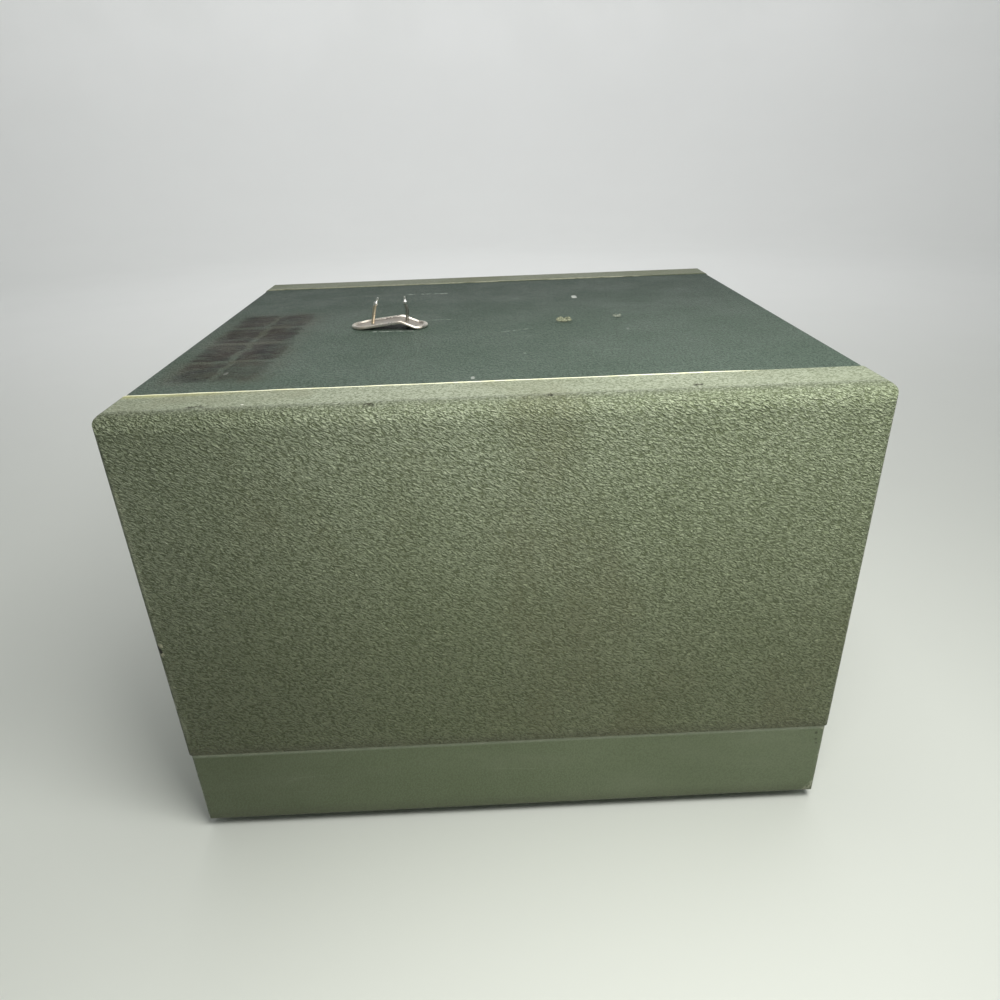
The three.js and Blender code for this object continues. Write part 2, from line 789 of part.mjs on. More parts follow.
// The loop hangs straight down from the lever, and reaches the keeper when it is swung up.
function latchBailSolid() {
  const legY = cheekHalf + bailSideGap + bailWireRadius;
  const inY = latchCheekSpacing / 2;
  const low = bailPivotUp - bailReach;
  const path = [
    [-inY, bailPivotUp],
    [-legY, bailPivotUp],
    [-legY, low],
    [legY, low],
    [legY, bailPivotUp],
    [inY, bailPivotUp],
  ];
  const points = path.map(([y, z]) => new THREE.Vector3(bailPivotOut, y, z));
  return wire(points, bailWireRadius, bailWireRadius + bailSideGap / 2, bailSteps);
}

// A hook on the cover for the loop's bar.
function keeperSolid() {
  const plateLow = footHeight + baseHeight + keeperLow;
  const plateHigh = plateLow + keeperPlateHigh;
  const barUp = bailPivotUp + bailReach;
  const floorHigh = barUp - bailWireRadius - keeperLipGap;
  const floorLow = floorHigh - latchMetal;
  const lipIn = bailPivotOut + bailWireRadius + keeperLipGap;
  const lipOut = lipIn + latchMetal;
  const lipHigh = barUp + keeperLipRise;
  const hook = polygon([
    [keeperShift, floorLow],
    [lipOut, floorLow],
    [lipOut, lipHigh],
    [lipIn, lipHigh],
    [lipIn, floorHigh],
    [keeperShift, floorHigh],
  ]);
  const half = keeperPlateWidth / 2;
  const face = keeperShift + latchPlateThickness;
  return join(
    block([keeperShift, -half, plateLow], [face, half, plateHigh]),
    prism("y", hook, -keeperWidth / 2, keeperWidth / 2),
    ...plateRivets(face, half, plateLow, plateHigh),
  );
}

function buildLatches() {
  const ends = { right: [1, 0], left: [-1, Math.PI] };
  for (const [end, [side, turn]] of Object.entries(ends)) {
    const group = new THREE.Group();
    group.position.x = side * (caseLength / 2 - baseInset + fitGap);
    group.rotation.z = turn;
    projector.add(group);
    addPart(group, `latch_plate_${end}`, latchPlateSolid(), nickel);
    addPart(group, `latch_lever_${end}`, latchLeverSolid(), nickel);
    addPart(group, `latch_bail_${end}`, latchBailSolid(), nickel);
    addPart(group, `latch_keeper_${end}`, keeperSolid(), nickel);
  }
}

// Projector. Its group's origin is on the base's floor board, below the optical axis.
machineGroup.position.set(0, projectorY, machineFloor);
const deckTop = chassisHeight + fitGap;
const condenserRear = lampX + bulbRadius + condenserLampGap;
const condenserFront = lampHouseFront - condenserInset;

// The lens end's own group starts at the slide's plane.
const lensGroup = new THREE.Group();
lensGroup.position.x = lampHouseFront + gateSetback;
machineGroup.add(lensGroup);

// A rounded housing block, drawn in on its sides and top. A drawn-in one is a hollow, with fewer facets.
function housingBlock(rear, front, half, low, top, corner, edge, inset) {
  const x0 = rear + inset;
  const x1 = front - inset;
  const y = half - inset;
  const z = top - inset;
  const cornerIn = Math.max(corner - inset, fitGap);
  const edgeIn = Math.max(edge - inset, fitGap);
  const roof = [0, 0, edgeIn, edgeIn];
  const [cornerFacets, edgeFacets] = inset ? hollowFacets : housingFacets;
  return common(
    prism("z", rectangle(x0, x1, -y, y, Array(4).fill(cornerIn)), low, z, cornerFacets),
    prism("x", rectangle(-y, y, low, z, roof), x0, x1, edgeFacets),
    prism("y", rectangle(x0, x1, low, z, roof), -y, y, edgeFacets),
  );
}

// A slot's outline, with its four corners cut off.
function slotOutline(x0, x1, z0, z1) {
  const corner = Math.min(x1 - x0, z1 - z0) * slotCornerShare;
  return polygon([
    [x0 + corner, z0],
    [x1 - corner, z0],
    [x1, z0 + corner],
    [x1, z1 - corner],
    [x1 - corner, z1],
    [x0 + corner, z1],
    [x0, z1 - corner],
    [x0, z0 + corner],
  ]);
}

// A row of slots through both side walls.
function sideSlots(count, pitch, x, [length, height], low, alongX) {
  const slots = [];
  for (let i = 0; i < count; i++) {
    const dx = alongX ? i * pitch : 0;
    const dz = alongX ? 0 : i * pitch;
    const outline = slotOutline(x + dx, x + dx + length, low + dz, low + dz + height);
    slots.push(prism("y", outline, -halfChassis - overrun, halfChassis + overrun));
  }
  return slots;
}

function buildChassis() {
  const shape = [chassisRear, chassisFront, halfChassis];
  const rounding = [housingCornerRadius, deckEdgeRadius];
  const outer = housingBlock(...shape, 0, chassisHeight, ...rounding, 0);
  const inner = housingBlock(...shape, -overrun, chassisHeight, ...rounding, chassisWall);
  const airHoles = [];
  for (let i = 0; i < airHoleCount; i++) {
    const angle = (2 * Math.PI * (i + 1 / 2)) / airHoleCount;
    const place = [blowerX + airRingRadius * Math.cos(angle), airRingRadius * Math.sin(angle), 0];
    airHoles.push(rod("z", airHoleRadius, 0, chassisHeight + overrun, tinySides, place));
  }
  const louvres = [louvreX, blowerX - louvreLength / 2].flatMap((x) =>
    sideSlots(louvreCount, louvrePitch, x, [louvreLength, louvreHeight], louvreLow, false),
  );
  const switchBore = switchStemRadius + fitGap;
  const switchPlace = [switchX, switchY, 0];
  const switchHole = rod("z", switchBore, 0, chassisHeight + overrun, smallSides, switchPlace);
  const inletHole = block(
    [inletX - inletShroudWidth / 2, halfChassis - overrun, inletUp - inletShroudHeight / 2],
    [inletX + inletShroudWidth / 2, halfChassis + overrun, inletUp + inletShroudHeight / 2],
  );
  const chassis = cut(outer, inner, ...airHoles, ...louvres, switchHole, inletHole);
  addPart(machineGroup, "lower_housing", chassis, darkEnamel);
}

const grilleX = chassisRear + grilleRearInset + grilleWidth / 2;

function buildLampHouse() {
  const shape = [chassisRear, lampHouseFront, halfChassis];
  const rounding = [housingCornerRadius, lampHouseTopRadius];
  const outer = housingBlock(...shape, deckTop, lampHouseTop, ...rounding, 0);
  const inner = housingBlock(...shape, 0, lampHouseTop, ...rounding, lampHouseWall);
  const ventX = grilleWidth / 2 - grilleRib;
  const ventY = grilleLength / 2 - grilleRib;
  const ventHigh = lampHouseTop + overrun;
  const vent = block([grilleX - ventX, -ventY, axisHeight], [grilleX + ventX, ventY, ventHigh]);
  const holeRear = lampHouseFront - lampHouseWall - overrun;
  const holeFront = lampHouseFront + overrun;
  const lightHole = rod("x", lightHoleRadius, holeRear, holeFront, roundSides, [0, 0, axisHeight]);
  const slotSize = [sideSlotWidth, sideSlotHeight];
  const slots = sideSlots(sideSlotCount, sideSlotPitch, blowerX, slotSize, sideSlotLow, true);
  const screws = [-1, 1].flatMap((side) =>
    [chassisRear + lampHouseScrewInset, lampHouseFront - lampHouseScrewInset].map((x) =>
      screwHead("y", side, [x, side * halfChassis, deckTop + lampHouseScrewUp]),
    ),
  );
  const house = join(cut(outer, inner, vent, lightHole, ...slots), ...screws);
  addPart(machineGroup, "lamp_house", house, castEnamel);
}

// The top grille: two columns of four openings between tall ribs, each opening crossed by thin low slats.
function buildGrille() {
  const columns = 2;
  const rows = 4;
  const slatsInOpening = 3;
  const halfX = grilleWidth / 2;
  const halfY = grilleLength / 2;
  const openX = (grilleWidth - (columns + 1) * grilleRib) / columns;
  const openY = (grilleLength - (rows + 1) * grilleRib) / rows;
  const frame = rectangle(-halfX, halfX, -halfY, halfY, Array(4).fill(grilleCornerRadius));
  let grille = prism("z", frame, 0, grilleHeight, 2);
  const slats = [];
  for (let row = 0; row < rows; row++) {
    const y = -halfY + grilleRib + row * (openY + grilleRib);
    for (let column = 0; column < columns; column++) {
      const x = -halfX + grilleRib + column * (openX + grilleRib);
      grille = cut(grille, block([x, y, -overrun], [x + openX, y + openY, grilleHeight + overrun]));
    }
    for (let i = 1; i <= slatsInOpening; i++) {
      const slatY = y + (i * openY) / (slatsInOpening + 1) - grilleSlat / 2;
      slats.push(
        block([-halfX + fitGap, slatY, 0], [halfX - fitGap, slatY + grilleSlat, grilleSlatHeight]),
      );
    }
  }
  const screws = [-1, 1].flatMap((sx) =>
    [-1, 1].map((sy) =>
      screwHead("z", 1, [sx * (halfX - grilleRib / 2), sy * (halfY - grilleRib / 2), grilleHeight]),
    ),
  );
  const place = [grilleX, 0, lampHouseTop + fitGap];
  addPart(machineGroup, "top_grille", join(grille, ...slats, ...screws), aluminium, place);
}

function buildLamp() {
  const boreRadius = lampSleeveRadius + fitGap;
  const floor = lampSleeveFoot - fitGap;
  const socket = revolve(
    "z",
    [
      [0, 0],
      [socketRadius, 0],
      [socketRadius, socketHeight],
      [boreRadius, socketHeight],
      [boreRadius, floor],
      [0, floor],
    ],
    middleSides,
  );
  addPart(machineGroup, "lamp_socket", socket, ceramic, [lampX, 0, deckTop]);
  const flangeLow = socketHeight + fitGap;
  const flangeHigh = flangeLow + lampFlangeThickness;
  const sleeve = revolve(
    "z",
    [
      [0, lampSleeveFoot],
      [lampSleeveRadius, lampSleeveFoot],
      [lampSleeveRadius, flangeLow],
      [lampFlangeRadius, flangeLow],
      [lampFlangeRadius, flangeHigh],
      [lampSleeveRadius, flangeHigh],
      [lampSleeveRadius, lampSleeveHeight],
      [0, lampSleeveHeight],
    ],
    middleSides,
  );
  addPart(machineGroup, "lamp_base", sleeve, brass, [lampX, 0, deckTop]);
  const glass = [[0, 0], [bulbNeckRadius, 0], [bulbRadius, bulbNeckHeight]];
  const domeSteps = 5;
  const glassLow = deckTop + lampSleeveHeight + fitGap;
  const domeLow = lampHouseTop - lampHouseWall - bulbHeadroom - glassLow - bulbRadius;
  for (let i = 0; i <= domeSteps; i++) {
    const angle = (Math.PI / 2) * (i / domeSteps);
    const radius = i === domeSteps ? 0 : bulbRadius * Math.cos(angle);
    glass.push([radius, domeLow + bulbRadius * Math.sin(angle)]);
  }
  addPart(machineGroup, "lamp_glass", revolve("z", glass, middleSides), clearGlass, [lampX, 0, glassLow]);
}

// A spun mirror behind the lamp, riveted to its strap.
function buildReflector() {
  const steps = 5;
  const limit = Math.asin(reflectorAperture / reflectorRadius);
  const outerRadius = reflectorRadius + reflectorThickness;
  const inside = [];
  const outside = [];
  for (let i = 0; i <= steps; i++) {
    const angle = limit * (i / steps);
    const share = i === 0 ? 0 : Math.sin(angle);
    inside.push([reflectorRadius * share, -reflectorRadius * Math.cos(angle)]);
    outside.push([outerRadius * share, -outerRadius * Math.cos(angle)]);
  }
  const profile = [...outside, ...inside.reverse()];
  const dish = revolve("x", profile, middleSides, [lampX, 0, axisHeight]);
  const strapRear = chassisRear + lampHouseWall + fitGap;
  const strapFront = lampX - reflectorRadius - reflectorThickness / 2;
  const half = reflectorStrapWidth / 2;
  const strap = block([strapRear, -half, deckTop], [strapFront, half, axisHeight + reflectorStrapReach]);
  const foot = block(
    [strapRear, -half, deckTop],
    [strapRear + reflectorFootLength, half, deckTop + reflectorThickness],
  );
  const bowl = revolve(
    "x",
    [...inside].reverse().concat([[0, inside[0][1]]]),
    middleSides,
    [lampX, 0, axisHeight],
  );
  addPart(machineGroup, "reflector", cut(join(dish, strap, foot), bowl), aluminium);
}

// A plano-convex glass, flat towards -X when the bulge is positive.
function lensSolid(radius, edge, bulge, sides) {
  const steps = 4;
  const profile = [[0, 0], [radius, 0], [radius, edge]];
  for (let i = 1; i <= steps; i++) {
    const share = 1 - i / steps;
    profile.push([radius * share, edge + bulge * (1 - share * share)]);
  }
  return revolve("x", profile, sides);
}

function buildCondenser() {
  const tube = pipe(
    "x",
    condenserBore,
    condenserRadius,
    condenserRear,
    condenserFront,
    roundSides,
    [0, 0, axisHeight],
  );
  const middle = (condenserRear + condenserFront) / 2;
  const halfLength = condenserSaddleLength / 2;
  const halfWidth = condenserSaddleWidth / 2;
  const saddle = block(
    [middle - halfLength, -halfWidth, deckTop],
    [middle + halfLength, halfWidth, axisHeight],
  );
  const bore = rod("x", condenserBore, condenserRear, condenserFront, roundSides, [0, 0, axisHeight]);
  addPart(machineGroup, "condenser_holder", cut(join(tube, saddle), bore), darkEnamel);

  const glass = lensSolid(condenserGlassRadius, condenserGlassEdge, condenserGlassBulge, middleSides);
  const rearX = condenserRear + fitGap;
  const frontX = condenserFront - fitGap;
  addPart(machineGroup, "condenser_rear", glass, clearGlass, [rearX, 0, axisHeight]);
  const front = addPart(machineGroup, "condenser_front", glass, clearGlass, [frontX, 0, axisHeight]);
  front.rotation.z = Math.PI;
  const halfPlate = heatGlassThickness / 2;
  const plate = rod("x", condenserGlassRadius, -halfPlate, halfPlate, middleSides);
  addPart(machineGroup, "heat_glass", plate, clearGlass, [middle, 0, axisHeight]);
}

const noseRear = fitGap - gateSetback;
const noseFront = noseRear + noseLength;
const mountHoleRadius = lensMountRadius + fitGap;
const pitchRadius = (gearModule * pinionTeeth) / 2;
const rackPitchLine = lensRadius + rackBarDepth + gearModule;
const focusHeight = axisHeight - rackPitchLine - pitchRadius;
const carrierLow = axisHeight - carrierHeight / 2;

function buildNose() {
  const shape = [noseRear - noseCornerRadius, noseFront, noseHalfWidth];
  const outer = housingBlock(...shape, deckTop, noseTop, noseCornerRadius, noseTopRadius, 0);
  const inner = housingBlock(...shape, 0, noseTop, noseCornerRadius, noseTopRadius, noseWall);
  const rearCut = block(
    [noseRear - noseCornerRadius - overrun, -noseHalfWidth - overrun, 0],
    [noseRear, noseHalfWidth + overrun, noseTop + overrun],
  );
  const slotX = carrierThickness / 2 + carrierTravelGap;
  const carrierSlot = block(
    [-slotX, -noseHalfWidth - overrun, carrierLow - carrierTravelGap],
    [slotX, noseHalfWidth + overrun, carrierLow + carrierHeight + carrierTravelGap],
  );
  const mountHole = rod("x", mountHoleRadius, 0, noseFront + overrun, roundSides, [0, 0, axisHeight]);
  const shaftHole = rod(
    "y",
    focusShaftRadius + shaftRunGap,
    -noseHalfWidth - overrun,
    noseHalfWidth + overrun,
    smallSides,
    [focusX, 0, focusHeight],
  );
  const nose = cut(outer, inner, rearCut, carrierSlot, mountHole, shaftHole);
  addPart(lensGroup, "nose_housing", nose, castEnamel);
}

// A channel that the carrier slides in, between two plates with the picture aperture.
function buildGate() {
  const inX = carrierThickness / 2 + carrierTravelGap;
  const outX = inX + gatePlateThickness;
  const floorHigh = carrierLow - fitGap;
  const high = carrierLow + carrierHeight + gateTopMargin;
  const halfAperture = [gateApertureWidth / 2, gateApertureHeight / 2];
  const gate = cut(
    block([-outX, -gateHalfWidth, deckTop], [outX, gateHalfWidth, high]),
    block([-inX, -gateHalfWidth - overrun, floorHigh], [inX, gateHalfWidth + overrun, high + overrun]),
    block(
      [-outX - overrun, -halfAperture[0], axisHeight - halfAperture[1]],
      [outX + overrun, halfAperture[0], axisHeight + halfAperture[1]],
    ),
  );
  addPart(lensGroup, "slide_gate", gate, darkEnamel);
}

// The push-pull carrier for two mounted slides. Each slide drops into its pocket from above.
function buildCarrier() {
  const halfX = carrierThickness / 2;
  const near = -carrierMargin;
  const far = carrierPitch + carrierMargin;
  const high = carrierLow + carrierHeight;
  const pockets = [0, carrierPitch].flatMap((y) => [
    block(
      [-slidePocketThickness / 2, y - slidePocketWidth / 2, axisHeight - slidePocketWidth / 2],
      [slidePocketThickness / 2, y + slidePocketWidth / 2, high + overrun],
    ),
    block(
      [-overrun, y - carrierApertureSize / 2, axisHeight - carrierApertureSize / 2],
      [overrun, y + carrierApertureSize / 2, axisHeight + carrierApertureSize / 2],
    ),
  ]);
  const gripLow = axisHeight - carrierGripHeight / 2;
  const gripHigh = gripLow + carrierGripHeight;
  const grip = block([-halfX, far - fitGap, gripLow], [halfX, far + carrierGripLength, gripHigh]);
  const body = block([-halfX, near, carrierLow], [halfX, far, high]);
  addPart(lensGroup, "slide_carrier", join(cut(body, ...pockets), grip), aluminium);
  const knobStart = far + carrierGripLength + fitGap;
  const knob = join(
    rod("y", carrierKnobNeck, 0, carrierKnobLength, middleSides),
    revolve(
      "y",
      [
        [0, carrierKnobNeck],
        [carrierKnobRadius - fluteDepth, carrierKnobNeck],
        [carrierKnobRadius, carrierKnobNeck + fluteDepth],
        [carrierKnobRadius, carrierKnobLength - fluteDepth],
        [carrierKnobRadius - fluteDepth, carrierKnobLength],
        [0, carrierKnobLength],
      ],
      middleSides,
    ),
  );
  addPart(lensGroup, "carrier_knob", knob, blackPlastic, [0, knobStart, axisHeight]);
}

// Half the width of a rack tooth at a height above the pitch line.
const pressureAngle = Math.PI / 9;
const addendum = gearModule;
const dedendum = gearModule * 1.25;
const toothPitch = Math.PI * gearModule;
function toothHalf(height) {
  return (toothPitch / 2 - gearBacklash) / 2 - height * Math.tan(pressureAngle);
}

function pinionSolid() {
  const points = [];
  const steps = [-dedendum, 0, addendum];
  for (let tooth = 0; tooth < pinionTeeth; tooth++) {
    const centre = (2 * Math.PI * tooth) / pinionTeeth;
    const flank = steps.map((height) => [pitchRadius + height, toothHalf(height) / pitchRadius]);
    const rising = flank.map(([radius, half]) => [radius, centre - half]);
    const falling = flank.map(([radius, half]) => [radius, centre + half]).reverse();
    for (const [radius, angle] of [...rising, ...falling]) {
      points.push([radius * Math.sin(angle), -radius * Math.cos(angle)]);
    }
  }
  return prism("y", polygon(points), -pinionWidth / 2, pinionWidth / 2);
}

// A toothed bar under the barrel. A gap between its teeth stands over the pinion's axis at rest.
function rackSolid() {
  const root = -lensRadius - rackBarDepth;
  const tip = root - dedendum - addendum + gearModule / 4;
  const pitchLine = -rackPitchLine;
  const bar = block([rackRear, -rackWidth / 2, root], [rackFront, rackWidth / 2, -lensBore - fitGap]);
  const teeth = [];
  const first = Math.ceil((rackRear - focusX) / toothPitch);
  const last = Math.floor((rackFront - focusX) / toothPitch) - 1;
  for (let i = first; i <= last; i++) {
    const x = focusX + (i + 1 / 2) * toothPitch;
    const wide = toothHalf(pitchLine - root - fitGap);
    const narrow = toothHalf(pitchLine - tip);
    const outline = polygon([
      [x - wide, root + fitGap],
      [x - narrow, tip],
      [x + narrow, tip],
      [x + wide, root + fitGap],
    ]);
    teeth.push(prism("y", outline, -rackWidth / 2, rackWidth / 2));
  }
  return join(bar, ...teeth);
}

const rackFront = 2 * focusX - rackRear;

function buildLens() {
  const barrel = pipe("x", lensBore, lensRadius, lensRear, lensFront, roundSides);
  const ring = cut(
    prism("x", flutedCircle(lensRingRadius, fluteDepth, roundSides), lensFront - lensRingLength, lensFront),
    rod("x", lensBore, 0, lensFront + overrun, roundSides),
  );
  const lens = join(barrel, ring, rackSolid());
  addPart(lensGroup, "lens_barrel", lens, blackPlastic, [0, 0, axisHeight]);
  const radius = lensBore - fitGap;
  const glass = lensSolid(radius, lensElementEdge, lensElementBulge, middleSides);
  const frontX = lensFront - lensElementInset - lensElementEdge - lensElementBulge;
  addPart(lensGroup, "lens_front_element", glass, clearGlass, [frontX, 0, axisHeight]);
  const rearX = lensRear + lensElementInset + lensElementEdge + lensElementBulge;
  const rear = addPart(lensGroup, "lens_rear_element", glass, clearGlass, [rearX, 0, axisHeight]);
  rear.rotation.z = Math.PI;

  const bore = lensRadius + lensMountRunGap;
  const tubeEnds = [noseFront - lensMountInside, noseFront + lensMountOutside];
  const flangeEnds = [noseFront + fitGap, noseFront + fitGap + lensMountFlange];
  const mount = join(
    pipe("x", bore, lensMountRadius, ...tubeEnds, roundSides),
    pipe("x", bore, lensMountFlangeRadius, ...flangeEnds, roundSides),
  );
  const grooveDepth = rackPitchLine + addendum + lensMountRunGap;
  const grooveHalf = rackWidth / 2 + lensMountRunGap;
  const groove = block([noseRear, -grooveHalf, -grooveDepth], [lensFront, grooveHalf, 0]);
  const screwCircle = (lensMountRadius + lensMountFlangeRadius) / 2 / Math.SQRT2;
  const screws = [-1, 1].flatMap((sy) =>
    [-1, 1].map((sz) => screwHead("x", 1, [flangeEnds[1], sy * screwCircle, sz * screwCircle])),
  );
  addPart(lensGroup, "lens_mount", join(cut(mount, groove), ...screws), aluminium, [0, 0, axisHeight]);
}

function buildFocus() {
  const place = [focusX, 0, focusHeight];
  const knobIn = -noseHalfWidth - focusKnobStandoff;
  const knobOut = knobIn - focusKnobLength;
  const shaft = join(
    rod("y", focusShaftRadius, knobOut + focusKnobStandoff, noseHalfWidth + focusKnobStandoff, smallSides),
    pinionSolid(),
  );
  addPart(lensGroup, "focus_shaft", shaft, steel, place);
  const grip = prism("y", flutedCircle(focusKnobRadius, fluteDepth, middleSides), knobOut, knobIn);
  const bore = rod("y", focusShaftRadius + fitGap, knobOut + focusKnobStandoff - fitGap, 0, smallSides);
  addPart(lensGroup, "focus_knob", cut(grip, bore), blackPlastic, place);
}

function buildBlower() {
  const half = motorStackSize / 2;
  const stackHigh = motorStackLow + motorStackHeight;
  const corner = Array(4).fill(cornerRadius);
  const motor = cut(
    join(
      rod("z", motorFootRadius, 0, motorFootThickness, middleSides),
      rod("z", motorRadius - cornerRadius, 0, motorHeight - cornerRadius, middleSides),
      prism("z", rectangle(-half, half, -half, half, corner), motorStackLow, stackHigh, 1),
      rod("z", motorBossRadius, 0, motorHeight, smallSides),
    ),
    rod("z", motorShaftRadius + shaftRunGap, motorStackLow, motorHeight + overrun, smallSides),
  );
  addPart(machineGroup, "blower_motor", motor, steel, [blowerX, 0, 0]);

  const fanLow = motorHeight + fanLift;
  const fanHigh = fanLow + fanHubHeight;
  const shaft = rod("z", motorShaftRadius, motorStackLow + fitGap, fanHigh + fitGap, smallSides);
  addPart(machineGroup, "motor_shaft", shaft, steel, [blowerX, 0, 0]);
  const bladeCount = 6;
  const blades = [];
  for (let i = 0; i < bladeCount; i++) {
    const blade = new THREE.BoxGeometry(fanRadius - fanHubRadius / 2, fanBladeChord, fanBladeThickness);
    blade.rotateX(fanPitchAngle);
    blade.translate((fanRadius + fanHubRadius / 2) / 2, 0, fanLow + fanHubHeight / 2);
    blades.push(toSolid(blade.rotateZ((2 * Math.PI * i) / bladeCount)));
  }
  const fan = cut(
    join(rod("z", fanHubRadius, fanLow, fanHigh, middleSides), ...blades),
    rod("z", motorShaftRadius + fitGap, 0, fanHigh + overrun, smallSides),
  );
  addPart(machineGroup, "fan_wheel", fan, aluminium, [blowerX, 0, 0]);
}

function buildInletAndSwitch() {
  const wide = inletShroudWidth / 2 - fitGap;
  const tall = inletShroudHeight / 2 - fitGap;
  const flangeWide = inletFlangeWidth / 2;
  const flangeTall = inletFlangeHeight / 2;
  const flangeOut = inletFlangeThickness;
  const shroudOut = inletShroudLength;
  const socketWide = wide - inletWall;
  const socketTall = tall - inletWall;
  const body = cut(
    join(
      block([-flangeWide, 0, -flangeTall], [flangeWide, flangeOut, flangeTall]),
      block([-wide, -chassisWall - inletFloor, -tall], [wide, shroudOut, tall]),
    ),
    block([-socketWide, 0, -socketTall], [socketWide, shroudOut + overrun, socketTall]),
  );
  const pins = [-inletPinPitch / 2, inletPinPitch / 2].map((x) =>
    rod("y", inletPinRadius, -inletFloor, inletPinLength, smallSides, [x, 0, 0]),
  );
  const screwX = (inletFlangeWidth + inletShroudWidth) / 4;
  const screws = [-screwX, screwX].map((x) => screwHead("y", 1, [x, flangeOut, 0]));
  const place = [inletX, halfChassis + fitGap, inletUp];
  addPart(machineGroup, "mains_inlet", join(body, ...pins, ...screws), blackPlastic, place);

  const gripLow = fitGap;
  const halfPointer = switchPointerWidth / 2;
  const pointerHigh = switchHeight + switchPointerRise;
  const knob = join(
    prism("z", flutedCircle(switchRadius, fluteDepth, middleSides), gripLow, switchHeight),
    block([-halfPointer, 0, gripLow], [halfPointer, switchRadius, pointerHigh]),
    rod("z", switchStemRadius, -chassisWall - overrun, switchHeight, smallSides),
  );
  addPart(machineGroup, "switch_knob", knob, blackPlastic, [switchX, switchY, chassisHeight]);
}

// A screw with a pad that lifts the lens end.
// It slides through the bushing as the knob, its nut, is turned.
function buildElevation() {
  const bore = screwRadius + screwRunGap;
  const boardLow = -fitGap - boardThickness;
  const bushing = revolve(
    "z",
    [
      [bore, boardLow],
      [bushingRadius, boardLow],
      [bushingRadius, 0],
      [bushingFlangeRadius, 0],
      [bushingFlangeRadius, bushingFlange],
      [bore, bushingFlange],
      [bore, boardLow],
    ],
    middleSides,
  );
  addPart(machineGroup, "elevation_bushing", bushing, brass, [elevationX, 0, 0]);
  const padLow = padClearance - machineGroup.position.z;
  const screw = join(
    rod("z", padRadius, padLow, padLow + padThickness, middleSides),
    rod("z", screwRadius, padLow, padLow + screwLength, smallSides),
  );
  addPart(machineGroup, "elevation_screw", screw, steel, [elevationX, 0, 0]);
  const knobLow = bushingFlange + fitGap;
  const knobOutline = flutedCircle(elevationKnobRadius, fluteDepth, middleSides);
  const knob = cut(
    prism("z", knobOutline, knobLow, knobLow + elevationKnobHeight),
    rod("z", bore, 0, screwLength, smallSides),
  );
  addPart(machineGroup, "elevation_knob", knob, blackPlastic, [elevationX, 0, 0]);
}

buildBase();
buildFeet();
buildCover();
buildHandlePlate();
buildHandleNails();
buildLatches();
buildChassis();
buildLampHouse();
buildGrille();
buildLamp();
buildReflector();
buildCondenser();
buildNose();
buildGate();
buildCarrier();
buildLens();
buildFocus();
buildBlower();
buildInletAndSwitch();
buildElevation();

export default projector;
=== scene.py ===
"""Looks of a slide projector in its covered carry case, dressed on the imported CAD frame."""

import logging
import math
import random
from dataclasses import dataclass
from enum import Enum
from functools import partial, reduce
from typing import Callable, Sequence

import bmesh
import bpy
from mathutils import Matrix, Vector


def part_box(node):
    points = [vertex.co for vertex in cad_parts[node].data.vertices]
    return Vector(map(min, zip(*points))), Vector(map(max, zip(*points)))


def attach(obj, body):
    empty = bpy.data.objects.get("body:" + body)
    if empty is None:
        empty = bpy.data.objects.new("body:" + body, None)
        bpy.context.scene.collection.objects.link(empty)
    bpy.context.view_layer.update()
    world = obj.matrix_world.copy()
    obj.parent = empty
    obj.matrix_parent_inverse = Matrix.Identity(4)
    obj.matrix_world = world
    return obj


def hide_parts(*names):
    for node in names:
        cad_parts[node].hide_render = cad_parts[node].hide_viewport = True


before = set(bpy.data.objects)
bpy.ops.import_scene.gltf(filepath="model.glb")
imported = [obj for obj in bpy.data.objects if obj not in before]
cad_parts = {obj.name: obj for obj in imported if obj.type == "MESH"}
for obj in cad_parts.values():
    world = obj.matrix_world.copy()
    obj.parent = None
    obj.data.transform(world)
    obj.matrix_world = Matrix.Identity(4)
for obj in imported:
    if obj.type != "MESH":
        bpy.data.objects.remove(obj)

LOG = logging.getLogger("slide_projector")
MM = 0.001
Value = object
Pair = tuple[float, float]
Triple = tuple[float, float, float]
Color = Triple
Box = tuple[Vector, Vector]
Mesh = tuple[list[Vector], list[list[int]]]
Stroke = tuple[Pair, Pair, float]


class Body(str, Enum):
    """The moving bodies of the CAD frame that scene pieces ride on."""

    BASE = "base"
    COVER = "cover"
    LENS = "lens"
    SWITCH = "switch"


class Slot(str, Enum):
    """The names of the record's material slots."""

    SAGE = "sage_vinyl"
    GREEN = "green_vinyl"
    NICKEL = "nickel"
    STEEL = "steel"
    BLACK = "black_plastic"


class Axis(int, Enum):
    """The axis that the plies of a board are stacked along."""

    X = 0
    Y = 1
    Z = 2


class Ends(Enum):
    """What becomes of the two ends of a tube."""

    OPEN = "open"
    CAPPED = "capped"
    JOINED = "joined"


def low_high(node: str) -> Box:
    """Gives the lowest and highest corner of a CAD node at rest, in metres."""
    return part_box(node)


def middle_of(node: str) -> Vector:
    """Gives the middle of a CAD node's box."""
    return sum(low_high(node), Vector()) / 2


# Node graphs


